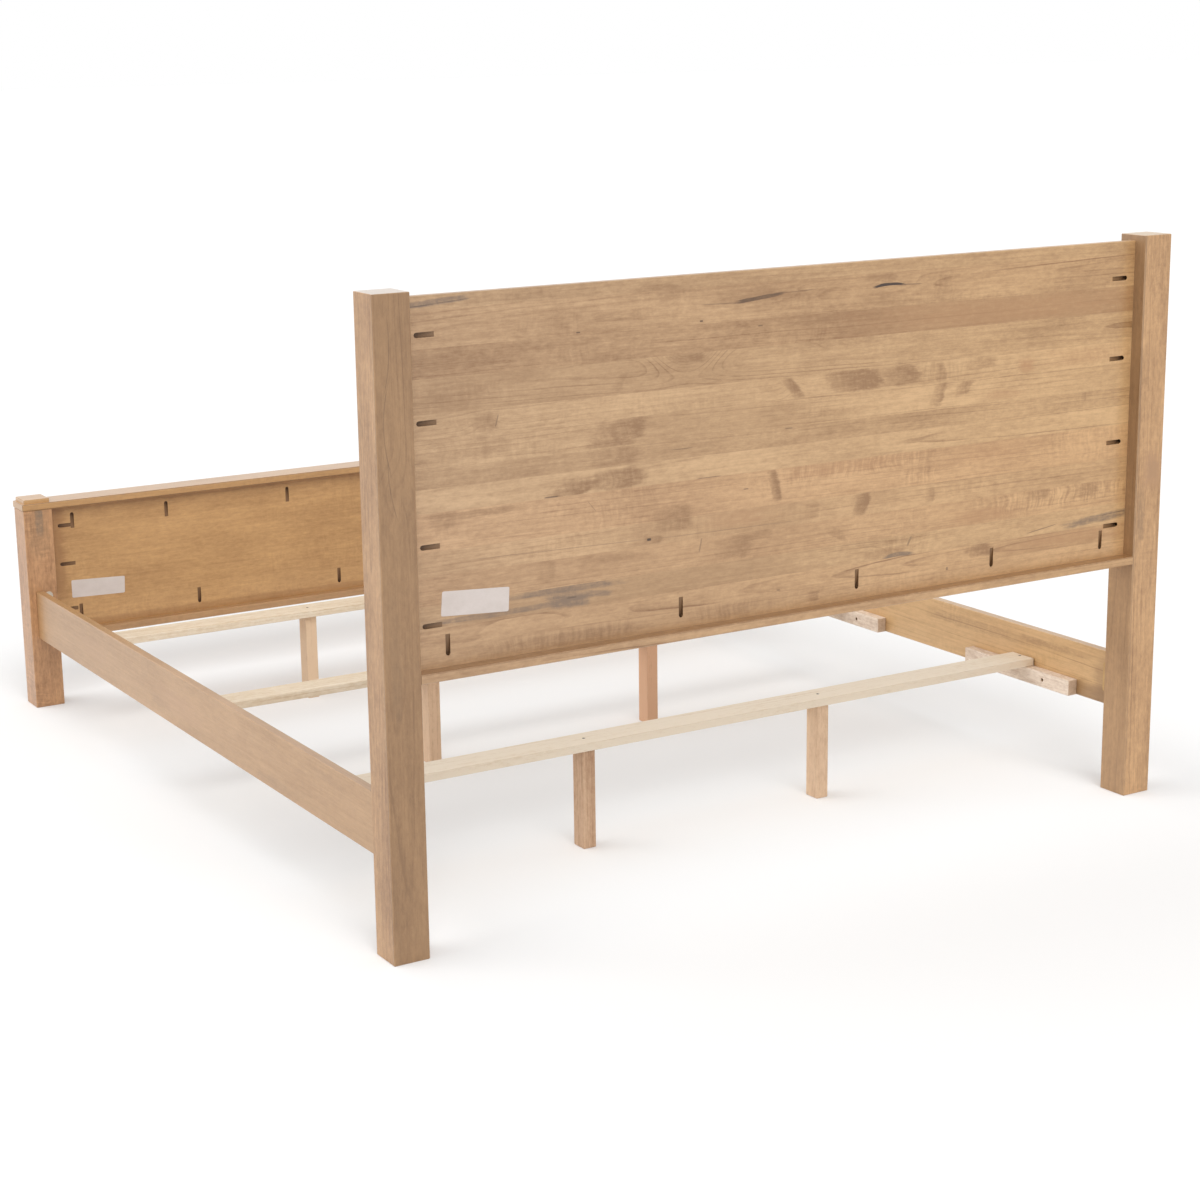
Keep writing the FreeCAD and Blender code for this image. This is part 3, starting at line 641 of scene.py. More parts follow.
@dataclass(frozen=True)
class WoodFinish:
    """A wood with its stain and topcoat, dressed on pieces one board at a time."""

    name: str
    light: Colour
    dark: Colour
    warm: Colour
    # Colour of rubbed edges, lighter with a painted highlight.
    worn: Colour
    # Wood of faces sunk into the board, darkened with painted shade.
    cut: Colour
    warm_dark: Colour = srgb(138, 95, 65)
    # Painted shade deep inside holes, such as the far ends of pockets.
    hollow: Colour = srgb(84, 58, 38)
    end: Colour = srgb(178, 146, 112)
    # Darker colour for stain blotches, and the colour of painted shade marks.
    blotch: Colour = srgb(148, 113, 78)
    blush: Colour = srgb(176, 135, 97)
    mineral: Colour = srgb(133, 111, 90)
    check: Colour = srgb(60, 42, 32)
    # Painted light along the grain: a darker, cooler tint at the high end and a warmer, brighter one at
    # the low end.
    cool_tint: Triple = (0.95, 0.95, 1.01)
    mellow_tint: Triple = (1.055, 1.0, 0.89)
    ring_strength: float = 0.70
    fibre_strength: float = 0.33
    cloud_strength: float = 0.30
    speckle_strength: float = 0.32
    ripple_strength: float = 0.27
    # How strongly the painted light along the grain applies.
    drift_strength: float = 0.0
    pore_strength: float = 0.12
    end_strength: float = 0.5
    # Strength and width of the rubbed edges and their painted highlight.
    wear_strength: float = 0.2
    wear_width: float = 0.0016
    cut_strength: float = 0.9
    cut_fade: float = 0.0003
    # Depths over which the painted shade deep in holes comes in.
    hollow_depths: Tuple[float, float] = (0.006, 0.011)
    ease: float = 0.0006
    mark_cover: float = 0.95
    mark_breaks: Triple = (0.30, 0.60, 0.55)
    roughness: float = 0.38
    streak_roughness: float = 0.07
    cloud_roughness: float = 0.03
    cut_roughness: float = 0.3
    end_roughness: float = 0.08
    coat: float = 0.3
    coat_roughness: float = 0.3
    bump: float = 0.25
    bump_rise: float = 0.0006
    ring_groove: float = -0.35
    check_groove: float = -2.5

    def dress(
        self, effects: WoodEffects, node: str, grain: GrainAxis, board: Board,
        around: Optional[Sequence[str]] = None,
    ) -> None:
        """Give one node of the frame its own board of this wood.

        Args:
            effects: the shared shader groups.
            node: the node to dress.
            grain: the axis that its grain follows.
            board: what sets this piece apart.
            around: nodes whose common box gives the rubbed edges and sunk faces, where it isn't the node's
                own.
        """
        outline = joint_box(around or [node])
        name = f"{self.name}_{node}"
        graph = BoardSurface(name, effects, grain, board, outline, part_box(node), self.wear_width)
        put_material(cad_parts[node], self._finished(graph))

    def _finished(self, graph: BoardSurface) -> bpy.types.Material:
        """Give a board its colour, gloss and relief.

        Args:
            graph: the board's material.

        Returns:
            The finished material.
        """
        inside = graph.step(graph.edges["Depth"], self.ease, self.ease + self.cut_fade)
        colour, check = self._marked(graph, self._stained(graph))
        rough = graph.scaled(graph.fibre["Streak"], self.streak_roughness, self.roughness)
        rough = graph.scaled(graph.figure["Cloud"], self.cloud_roughness, rough)
        rough = graph.scaled(inside, self.cut_roughness, rough)
        rough = graph.scaled(graph.edges["End"], self.end_roughness, rough, clamp=True)
        height = graph.scaled(graph.line, self.ring_groove, graph.fibre["Height"])
        height = graph.scaled(check, self.check_groove, height)
        return graph.finish(
            Base_Color=self._drifted(graph, self._cut(graph, colour, inside)), Roughness=rough,
            Coat_Weight=self.coat, Coat_Roughness=self.coat_roughness,
            Normal=graph.relief(height, self.bump, self.bump_rise),
        )

    def _stained(self, graph: BoardSurface) -> Socket:
        """Colour of the stained wood with its rings, fibres and figure.

        Args:
            graph: the board's material.

        Returns:
            The stained wood's colour.
        """
        tone: Value = graph.board.stain
        for value, strength in (
            (graph.line, self.ring_strength * graph.board.rings),
            (graph.fibre["Streak"], self.fibre_strength),
            (graph.fibre["Pores"], self.pore_strength),
            (graph.figure["Cloud"], self.cloud_strength),
            (graph.figure["Speckle"], self.speckle_strength),
            (graph.waves(), self.ripple_strength),
        ):
            tone = graph.scaled(value, strength, tone)
        tone = graph.math("ADD", tone, 0.0, clamp=True)
        warm = graph.mix(tone, self.warm, self.warm_dark)
        return graph.mix(graph.board.warmth, graph.mix(tone, self.light, self.dark), warm)

    def _marked(self, graph: BoardSurface, colour: Socket) -> Tuple[Socket, Value]:
        """Lay the placed marks over a colour.

        Args:
            graph: the board's material.
            colour: the stained wood.

        Returns:
            The marked colour, and where the wood is split.
        """
        broken: Value = self.mark_cover
        patterns = (graph.figure["Ripple"], graph.figure["Speckle"], graph.fibre["Streak"])
        for value, strength in zip(patterns, self.mark_breaks):
            broken = graph.scaled(value, strength, broken)
        check: Value = 0.0
        # Cloud and shade marks darken towards one colour; the shade marks in recesses, beside posts and
        # under parts, and the ledge's crease mark, are painted shade.
        shades = {C: self.blotch, T: self.blotch, M: self.mineral, B: self.blush}
        for mark, spot in graph.marks:
            mask = graph.times(spot["Mask"], mark.strength)
            if mark.kind in shades:
                share = mask if mark.kind is MarkKind.SHADE else graph.times(mask, broken)
                if mark.kind is MarkKind.CLOUD:
                    share = graph.times(share, spot["Fade"])
                colour = graph.mix(share, colour, shades[mark.kind])
            elif mark.kind is MarkKind.SPLIT:
                colour = graph.mix(mask, colour, self.check)
                check = graph.add(mask, check)
        return colour, check

    def _cut(self, graph: BoardSurface, colour: Socket, inside: Socket) -> Socket:
        """Show end grain, lighter rubbed edges with a painted highlight, the wood of faces sunk into the
        board darkened with painted shade, and painted shade deep in its holes.

        Args:
            graph: the board's material.
            colour: the marked wood.
            inside: one on faces below the surface.

        Returns:
            The colour with its ends, edges, sunk faces and painted shade.
        """
        depth = graph.edges["Depth"]
        colour = graph.mix(graph.times(graph.edges["End"], self.end_strength), colour, self.end)
        # Edges lighter with rubbing and a painted highlight.
        colour = graph.mix(graph.times(graph.edges["Wear"], self.wear_strength), colour, self.worn)
        # Faces sunk into the board: their own wood darkened with painted shade.
        colour = graph.mix(graph.times(inside, self.cut_strength), colour, self.cut)
        # Painted shade that deepens with depth inside holes.
        return graph.mix(graph.step(depth, *self.hollow_depths), colour, self.hollow)

    def _drifted(self, graph: BoardSurface, colour: Socket) -> Socket:
        """Paint a steady change of light along the grain, from darker and cooler at the high end to warmer
        and brighter at the low end.

        Args:
            graph: the board's material.
            colour: the colour before the painted light.

        Returns:
            The colour with the painted light.
        """
        light_falloff = self.drift_strength
        if not light_falloff:
            return colour
        along, _, _ = graph.separate(graph.space)
        start, stop = (corner[graph.order[0]] for corner in reversed(graph.own))
        share = graph.math("DIVIDE", graph.less(along, start), stop - start, clamp=True)
        tint = (
            graph.scaled(share, light_falloff * (low - high), 1.0 + light_falloff * (high - 1.0))
            for high, low in zip(self.cool_tint, self.mellow_tint)
        )
        return graph.vector("MULTIPLY", colour, graph.combine(*tint))


@dataclass(frozen=True)
class SteelFinish:
    """Plated sheet steel, bright or yellow, or the black of hardened screws."""

    name: str
    bright: Colour
    dull: Colour
    roughness: float
    metallic: float = 1.0
    spangle_size: Triple = (420.0, 420.0, 420.0)
    smear_size: Triple = (45.0, 45.0, 45.0)
    rolled_size: Triple = (900.0, 900.0, 60.0)
    tone: float = 0.4
    spangle_tone: float = 0.35
    smear_tone: float = 0.5
    smear_roughness: float = 0.12
    rolled_roughness: float = 0.06
    bump: float = 0.2
    bump_rise: float = 0.0002

    def material(self) -> bpy.types.Material:
        """Make the metal with spangle, rolling marks and handling smears.

        Returns:
            The material.
        """
        graph = SurfaceGraph(self.name)
        place = graph.place()
        spangle = graph.swing(place, self.spangle_size)
        smear = graph.swing(place, self.smear_size, 3.0, 0.6)
        rolled = graph.swing(place, self.rolled_size)
        tone = graph.scaled(spangle, self.spangle_tone, self.tone)
        tone = graph.scaled(smear, self.smear_tone, tone, clamp=True)
        rough = graph.scaled(smear, self.smear_roughness, self.roughness)
        rough = graph.scaled(rolled, self.rolled_roughness, rough, clamp=True)
        return graph.finish(
            Base_Color=graph.mix(tone, self.bright, self.dull), Metallic=self.metallic, Roughness=rough,
            Normal=graph.relief(graph.add(rolled, spangle), self.bump, self.bump_rise),
        )


@dataclass(frozen=True)
class PaperFinish:
    """Plain matt label paper."""

    name: str = "label_paper"
    face: Colour = srgb(212, 201, 195)
    shade: Colour = srgb(194, 182, 174)
    fibre_size: Triple = (260.0, 260.0, 700.0)
    grime_size: Triple = (24.0, 24.0, 40.0)
    tone: float = 0.3
    fibre_tone: float = 0.25
    grime_tone: float = 0.55
    roughness: float = 0.55
    fibre_roughness: float = 0.08
    bump: float = 0.15
    bump_rise: float = 0.0003

    def material(self) -> bpy.types.Material:
        """Make the paper with faint fibres and grime.

        Returns:
            The material.
        """
        graph = SurfaceGraph(self.name)
        place = graph.place()
        fibres = graph.swing(place, self.fibre_size, 3.0, 0.6)
        grime = graph.swing(place, self.grime_size, 3.0, 0.6)
        tone = graph.scaled(fibres, self.fibre_tone, self.tone)
        tone = graph.scaled(grime, self.grime_tone, tone, clamp=True)
        return graph.finish(
            Base_Color=graph.mix(tone, self.face, self.shade),
            Roughness=graph.scaled(fibres, self.fibre_roughness, self.roughness),
            Normal=graph.relief(fibres, self.bump, self.bump_rise),
        )


def joint_box(nodes: Sequence[str]) -> Box:
    """Lowest and highest corners around several nodes."""
    lows, highs = zip(*(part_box(node) for node in nodes))
    return Vector([min(column) for column in zip(*lows)]), Vector([max(column) for column in zip(*highs)])


def put_material(piece: bpy.types.Object, material: bpy.types.Material) -> None:
    """Set the only material of a piece.

    Args:
        piece: the piece to dress.
        material: its new material.
    """
    if not piece.material_slots:
        piece.data.materials.append(material)
    for slot in piece.material_slots:
        slot.material = material


# The stained maple carries painted light along its grain: darker and cooler towards +X, warmer and
# brighter towards -X.
STAINED = WoodFinish(
    "stained_maple", light=srgb(206, 171, 129), dark=srgb(143, 108, 73), warm=srgb(204, 158, 115),
    worn=srgb(200, 167, 129), cut=srgb(112, 82, 52), drift_strength=1.0,
)
# The post finish's pale grey end colour is end grain with a painted sheen, which makes the post tops near
# white.
POST = WoodFinish(
    "post_maple", light=srgb(210, 166, 118), dark=srgb(136, 98, 62), warm=srgb(202, 150, 110),
    worn=srgb(206, 168, 126), cut=srgb(98, 68, 45), end=srgb(214, 206, 198), blotch=srgb(134, 106, 78),
    ring_strength=0.30, fibre_strength=0.36, cloud_strength=0.32, speckle_strength=0.36, end_strength=0.8,
    ease=0.0012, wear_width=0.0022,
)
# The far post's end colour is also paler than plain end grain: end grain with a painted sheen on its top.
AMBER_POST = replace(POST, end=srgb(206, 186, 160))
CURLY_POST = replace(POST, speckle_strength=0.42, cloud_strength=0.36, ripple_strength=0.40)
VENEER = WoodFinish(
    "maple_veneer", light=srgb(204, 160, 107), dark=srgb(150, 109, 65), warm=srgb(196, 146, 100),
    worn=srgb(190, 150, 108), cut=srgb(104, 72, 44), blotch=srgb(146, 102, 62),
    ring_strength=0.12, fibre_strength=0.28, cloud_strength=0.34, ripple_strength=0.16,
)
RAIL = WoodFinish(
    "rail_maple", light=srgb(193, 152, 106), dark=srgb(138, 101, 61), warm=srgb(190, 144, 102),
    worn=srgb(194, 160, 122), cut=srgb(110, 80, 54),
    ring_strength=0.22, fibre_strength=0.28, cloud_strength=0.20, speckle_strength=0.22, coat=0.45,
)
GOLDEN_RAIL = replace(
    RAIL, light=srgb(208, 169, 120), dark=srgb(148, 108, 64), blotch=srgb(130, 95, 62),
    ring_strength=0.60, fibre_strength=0.40,
)
CAP = replace(
    RAIL, name="cap_maple", light=srgb(203, 157, 98), dark=srgb(143, 102, 54),
    warm=srgb(204, 158, 112), worn=srgb(204, 168, 126), coat=0.8,
)
PALE = WoodFinish(
    "bare_poplar", light=srgb(234, 220, 199), dark=srgb(202, 176, 140), warm=srgb(230, 211, 193),
    worn=srgb(232, 220, 202), cut=srgb(176, 146, 108), ripple_strength=0.06, roughness=0.58, coat=0.0,
    ring_strength=0.60, fibre_strength=0.44, cloud_strength=0.24, speckle_strength=0.46,
)
LEG = WoodFinish(
    "leg_hardwood", light=srgb(222, 192, 160), dark=srgb(158, 116, 84), warm=srgb(214, 164, 128),
    worn=srgb(220, 191, 160), cut=srgb(120, 86, 58), ring_strength=0.30, roughness=0.52, coat=0.0,
)
DOWEL = WoodFinish(
    "dowel_beech", light=srgb(222, 190, 150), dark=srgb(180, 142, 104), warm=srgb(220, 180, 144),
    worn=srgb(222, 192, 156), cut=srgb(190, 154, 116), roughness=0.6, coat=0.0,
)
ZINC = SteelFinish("plated_steel", srgb(224, 216, 204), srgb(180, 171, 158), 0.38)
BLACK_STEEL = SteelFinish("dark_screw", srgb(92, 88, 84), srgb(40, 37, 35), 0.38)
YELLOW_STEEL = SteelFinish("yellow_steel", srgb(206, 172, 122), srgb(168, 134, 92), 0.5, 0.6)


# Screws

class ScrewHead(Enum):
    """Shape of a screw's head."""

    WASHER = "washer head over the wood"
    FLAT = "countersunk head"


@dataclass(frozen=True)
class ScrewShape:
    """Sizes of one kind of wood screw, from the top of its head to its tip."""

    head: ScrewHead
    head_radius: float
    head_height: float
    crown_radius: float
    shank_radius: float = 0.00145
    thread_radius: float = 0.0019
    pitch: float = 0.0022
    recess: float = 0.0016

    def inputs(self) -> Dict[str, Value]:
        """Sizes under the names of the geometry tree's inputs.

        Returns:
            The size for each input.
        """
        foot = self.head_radius if self.head is ScrewHead.WASHER else self.shank_radius
        sizes = {name.replace("_", " ").title(): value for name, value in vars(self).items()}
        sizes.update({"Foot Radius": foot})
        del sizes["Head"]
        return sizes


WASHER_SCREW = ScrewShape(ScrewHead.WASHER, 0.0042, 0.0022, 0.0030)
FLAT_SCREW = ScrewShape(ScrewHead.FLAT, 0.0039, 0.0024, 0.0039)


class ScrewTree:
    """Geometry tree that turns points with an axis into screws."""

    CROWN_SIDES = 16
    FLANGE_SIDES = 20
    SHANK_SIDES = 10
    TURN_STEPS = 10
    RIDGE_SIDES = 3
    TOP_NORMAL = -0.9
    TINY = 1e-6
    RIM_SHARE = 0.3
    RECESS_SHARE = 0.7
    SHANK_START = 0.9
    TIP_LENGTH = 3.0
    TIP_RADIUS = 0.0002
    THREAD_START = 0.28
    THREAD_RUN = 0.62

    def __init__(self, name: str, shape: ScrewShape) -> None:
        """Build the tree with its named sizes.

        Args:
            name: the tree's name.
            shape: the screw whose sizes the tree asks for.
        """
        self.graph = GroupGraph(name, "GeometryNodeTree")
        graph = self.graph
        points = graph.input("Geometry", "Geometry")
        self.sizes = {label: graph.input(label) for label in ("Length", *shape.inputs())}
        material = graph.input("Material", "Material")
        screw = self._join(self._head(), self._shank(), self._thread())
        axis = graph.node("GeometryNodeInputNamedAttribute", {"Name": "axis"}, data_type="FLOAT_VECTOR")
        turn = graph.node("FunctionNodeAlignRotationToVector", {"Vector": axis.outputs[0]}, axis="Z")
        fed = {"Points": points, "Instance": screw, "Rotation": turn.outputs[0]}
        spread = graph.node("GeometryNodeInstanceOnPoints", fed)
        solid = graph.node("GeometryNodeRealizeInstances", {0: spread.outputs[0]})
        fed = {"Geometry": solid.outputs[0], "Material": material}
        graph.output("Geometry", graph.node("GeometryNodeSetMaterial", fed).outputs[0], "Geometry")

    def _join(self, *parts: Socket) -> Socket:
        """Join several pieces of geometry.

        Args:
            *parts: the pieces' geometry.

        Returns:
            The joined geometry.
        """
        made = self.graph.node("GeometryNodeJoinGeometry")
        for part in parts:
            self.graph.feed(made.inputs[0], part)
        return made.outputs[0]

    def _moved(self, geometry: Socket, height: Value) -> Socket:
        """Move a piece along the screw."""
        fed = {"Geometry": geometry, "Translation": self.graph.combine(0.0, 0.0, height)}
        return self.graph.node("GeometryNodeTransform", fed).outputs[0]

    def _cone(self, low: Value, high: Value, depth: Value, sides: int) -> Socket:
        """Cone or cylinder that stands on the origin, low radius first."""
        fed = {"Vertices": sides, "Radius Bottom": low, "Radius Top": high, "Depth": depth}
        return self.graph.node("GeometryNodeMeshCone", fed, fill_type="NGON").outputs["Mesh"]

    def _head(self) -> Socket:
        """Flange and crown, with a square drive recess in the crown's top.

        Returns:
            The head's geometry.
        """
        graph, sizes = self.graph, self.sizes
        tall = sizes["Head Height"]
        crown = self._cone(sizes["Crown Radius"], sizes["Foot Radius"], tall, self.CROWN_SIDES)
        _, _, up = graph.separate(graph.node("GeometryNodeInputNormal").outputs[0])
        fed = {0: up, 1: self.TOP_NORMAL}
        top = graph.node("FunctionNodeCompare", fed, data_type="FLOAT", operation="LESS_THAN")
        fed = {"Mesh": crown, "Selection": top.outputs[0], "Offset Scale": 0.0}
        inset = graph.node("GeometryNodeExtrudeMesh", fed)
        place = graph.node("GeometryNodeInputPosition").outputs[0]
        flat = graph.vector("MULTIPLY", place, (1.0, 1.0, 0.0))
        x, y, _ = graph.separate(graph.vector("ABSOLUTE", flat))
        widest = graph.math("MAXIMUM", graph.math("MAXIMUM", x, y), self.TINY)
        scale = graph.math("DIVIDE", sizes["Recess"], widest)
        wide_x, wide_y, _ = graph.separate(flat)
        _, _, level = graph.separate(place)
        square = graph.combine(graph.times(wide_x, scale), graph.times(wide_y, scale), level)
        fed = {"Geometry": inset.outputs["Mesh"], "Selection": inset.outputs["Top"], "Position": square}
        squared = graph.node("GeometryNodeSetPosition", fed)
        sunk = graph.node("GeometryNodeExtrudeMesh", {
            "Mesh": squared.outputs[0], "Selection": inset.outputs["Top"],
            "Offset": graph.combine(0.0, 0.0, 1.0), "Offset Scale": graph.times(tall, self.RECESS_SHARE),
        })
        rim = graph.times(tall, self.RIM_SHARE)
        flange = self._cone(sizes["Head Radius"], sizes["Foot Radius"], rim, self.FLANGE_SIDES)
        return self._join(sunk.outputs["Mesh"], self._moved(flange, graph.less(tall, rim)))

    def _shank(self) -> Socket:
        """Core of the screw with its pointed tip.

        Returns:
            The shank's geometry.
        """
        graph, length, radius = self.graph, self.sizes["Length"], self.sizes["Shank Radius"]
        start = graph.times(self.sizes["Head Height"], self.SHANK_START)
        tip = graph.times(radius, self.TIP_LENGTH)
        straight = graph.less(graph.less(length, start), tip)
        core = self._cone(radius, radius, straight, self.SHANK_SIDES)
        point = self._cone(radius, self.TIP_RADIUS, tip, self.SHANK_SIDES)
        return self._join(self._moved(core, start), self._moved(point, graph.less(length, tip)))

    def _thread(self) -> Socket:
        """Thread wound around the core, from a smooth neck to the tip.

        Returns:
            The thread's geometry.
        """
        graph, length, radius = self.graph, self.sizes["Length"], self.sizes["Shank Radius"]
        run = graph.times(length, self.THREAD_RUN)
        wound = graph.node("GeometryNodeCurveSpiral", {
            "Resolution": self.TURN_STEPS, "Rotations": graph.math("DIVIDE", run, self.sizes["Pitch"]),
            "Start Radius": radius, "End Radius": radius, "Height": run,
        })
        proud = graph.less(self.sizes["Thread Radius"], radius)
        fed = {"Resolution": self.RIDGE_SIDES, "Radius": proud}
        ridge = graph.node("GeometryNodeCurvePrimitiveCircle", fed)
        fed = {"Curve": wound.outputs[0], "Profile Curve": ridge.outputs[0], "Fill Caps": True}
        swept = graph.node("GeometryNodeCurveToMesh", fed)
        return self._moved(swept.outputs[0], graph.times(length, self.THREAD_START))


@dataclass
class ScrewSet:
    """Screws that take the places of the plain ones in some nodes of the frame."""

    name: str
    nodes: Tuple[str, ...]
    shape: ScrewShape
    material: bpy.types.Material
    slot: str = "dark_screw"
    weld: float = 1e-6
    ring_depth: float = 1e-4
    places: List[Tuple[Vector, Vector, float]] = field(default_factory=list)

    def build(self) -> bpy.types.Object:
        """Read each screw's place from its node and set a detailed one there.

        Returns:
            The finished piece.
        """
        for node in self.nodes:
            self.places.extend(self._read(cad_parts[node]))
        lengths = sorted({round(length, 3) for _, _, length in self.places})
        whole = join_pieces(self.name, [self._group(length) for length in lengths])
        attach(whole, "root")
        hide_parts(*self.nodes)
        LOG.info("%s: %d screws in lengths %s", self.name, len(self.places), lengths)
        return whole

    def _group(self, length: float) -> bpy.types.Object:
        """Make all screws of one length with Geometry Nodes.

        Args:
            length: the screws' length.

        Returns:
            The object with their mesh.
        """
        chosen = [place for place in self.places if round(place[2], 3) == length]
        label = round(length * 1000)
        mesh = bpy.data.meshes.new(f"{self.name}_points")
        mesh.from_pydata([tuple(place[0]) for place in chosen], [], [])
        axis = mesh.attributes.new("axis", "FLOAT_VECTOR", "POINT")
        for item, place in zip(axis.data, chosen):
            item.vector = place[1]
        piece = add_object(f"{self.name}_{label}", mesh)
        tree = ScrewTree(f"{self.name}_tree_{label}", self.shape).graph.tree
        modifier = piece.modifiers.new("screws", "NODES")
        modifier.node_group = tree
        values = {"Length": length, "Material": self.material, **self.shape.inputs()}
        for item in tree.interface.items_tree:
            if item.in_out == "INPUT" and item.name in values:
                modifier[item.identifier] = values[item.name]
        view = bpy.context.evaluated_depsgraph_get()
        result = bpy.data.meshes.new_from_object(piece.evaluated_get(view))
        piece.modifiers.remove(modifier)
        piece.data = result
        return piece

    def _read(self, source: bpy.types.Object) -> List[Tuple[Vector, Vector, float]]:
        """Find the head, direction and length of each plain screw in a node.

        Args:
            source: the node's object.

        Returns:
            For each screw the middle of its head's top, its direction and its length.
        """
        shell = bmesh.new()
        shell.from_mesh(source.data)
        bmesh.ops.remove_doubles(shell, verts=shell.verts, dist=self.weld)
        left = set(shell.verts)
        found = []
        while left:
            start = min(left, key=lambda vert: vert.index)
            island, queue = {start}, [start]
            while queue:
                for edge in queue.pop().link_edges:
                    for vert in edge.verts:
                        if vert not in island:
                            island.add(vert)
                            queue.append(vert)
            left -= island
            dots = np.array([tuple(vert.co) for vert in sorted(island, key=lambda vert: vert.index)])
            middle = dots.mean(axis=0)
            axis = np.linalg.svd(dots - middle)[2][0]
            along = (dots - middle) @ axis
            off = np.linalg.norm(dots - middle - np.outer(along, axis), axis=1)
            if along[int(off.argmax())] > 0:
                axis, along = -axis, -along
            ring = dots[along < along.min() + self.ring_depth].mean(axis=0)
            found.append((Vector(ring), Vector(axis), float(along.max() - along.min())))
        shell.free()
        return found


def join_pieces(name: str, pieces: Sequence[bpy.types.Object]) -> bpy.types.Object:
    """Join meshes at the origin into one object.

    Args:
        name: the joined object's name.
        pieces: objects whose meshes are already in place.

    Returns:
        The joined object.
    """
    shell = bmesh.new()
    materials: List[bpy.types.Material] = []
    for piece in pieces:
        materials.extend(material for material in piece.data.materials if material not in materials)
        shell.from_mesh(piece.data)
    mesh = bpy.data.meshes.new(name)
    shell.to_mesh(mesh)
    shell.free()
    for material in materials:
        mesh.materials.append(material)
    for piece in pieces:
        bpy.data.objects.remove(piece)
    return add_object(name, mesh)


# Labels

@dataclass(frozen=True)
class PaperLabel:
    """Blank paper label on a panel's face that looks towards +Y."""

    name: str
    face_y: float
    corners: Tuple[Tuple[float, float], ...]
    slot: str
    columns: int = 36
    rows: int = 14
    clearance: float = 0.00002
    thickness: float = 0.00025
    corner_radius: float = 0.003
    lift: float = 0.0006
    lift_from: float = 1.72
    lift_gain: float = 12.0
    wave: float = 0.00006
    wave_turns: Tuple[float, float] = (9.0, 5.0)
    wave_start: float = 1.0

    def build(self, material: bpy.types.Material) -> bpy.types.Object:
        """Make the label as a thin sheet that has lifted a little at one corner.

        Args:
            material: the label's paper.

        Returns:
            The finished piece.
        """
        near_top, far_top, _, near_low = (Vector((x, 0.0, z)) for x, z in self.corners)
        size = ((far_top - near_top).length, (near_top - near_low).length)
        verts = [
            self._spot(column / self.columns, row / self.rows, layer, size)
            for layer in (self.clearance, self.thickness)
            for row in range(self.rows + 1) for column in range(self.columns + 1)
        ]
        mesh = bpy.data.meshes.new(self.name)
        mesh.from_pydata(verts, [], self._faces())
        shell = bmesh.new()
        shell.from_mesh(mesh)
        bmesh.ops.recalc_face_normals(shell, faces=shell.faces)
        shell.to_mesh(mesh)
        shell.free()
        mesh.materials.append(material)
        piece = add_object(self.name, mesh)
        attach(piece, "root")
        LOG.info("%s: %.0f by %.0f mm", self.name, size[0] * 1000, size[1] * 1000)
        return piece

    def _spot(self, u: float, v: float, layer: float, size: Tuple[float, float]) -> Vector:
        """Place one point of the sheet, with its lifted corner and its faint waves.

        Args:
            u: share of the way from the near edge to the far one.
            v: share of the way up.
            layer: height over the panel.
            size: the sheet's width and height.

        Returns:
            The point's place.
        """
        near_top, far_top, far_low, near_low = (Vector((x, 0.0, z)) for x, z in self.corners)
        u, v = self._rounded(u, v, *size)
        place = near_low.lerp(far_low, u).lerp(near_top.lerp(far_top, u), v)
        across, up = self.wave_turns
        curl = self.lift * max(0.0, u + v - self.lift_from) ** 2 * self.lift_gain
        wave = self.wave * math.sin(across * u) * math.sin(up * v + self.wave_start)
        place.y = self.face_y + layer + curl + max(0.0, wave)
        return place

    def _faces(self) -> List[Tuple[int, int, int, int]]:
        """Faces of both sides of the sheet and of its rim.

        Returns:
            The corners of each face.
        """
        stride = self.columns + 1
        back = stride * (self.rows + 1)
        faces = []
        for row in range(self.rows):
            for column in range(self.columns):
                at = row * stride + column
                faces.append((at + back, at + 1 + back, at + 1 + stride + back, at + stride + back))
                faces.append((at, at + stride, at + 1 + stride, at + 1))
        rim = list(range(stride))
        rim += [row * stride + self.columns for row in range(1, self.rows + 1)]
        rim += [self.rows * stride + column for column in range(self.columns - 1, -1, -1)]
        rim += [row * stride for row in range(self.rows - 1, 0, -1)]
        for here, after in zip(rim, rim[1:] + rim[:1]):
            faces.append((here, after, after + back, here + back))
        return faces

    def _rounded(self, u: float, v: float, width: float, height: float) -> Tuple[float, float]:
        """Pull the corners of the sheet in to a small radius.

        Args:
            u: share of the way across the sheet.
            v: share of the way up.
            width: the sheet's width.
            height: the sheet's height.

        Returns:
            Both shares, moved.
        """
        x, y = u * width, v * height
        radius = self.corner_radius
        near_x = min(max(x, radius), width - radius)
        near_y = min(max(y, radius), height - radius)
        off_x, off_y = x - near_x, y - near_y
        far = math.hypot(off_x, off_y)
        if far > radius:
            x, y = near_x + off_x * radius / far, near_y + off_y * radius / far
        return x / width, y / height


# Sub-assemblies

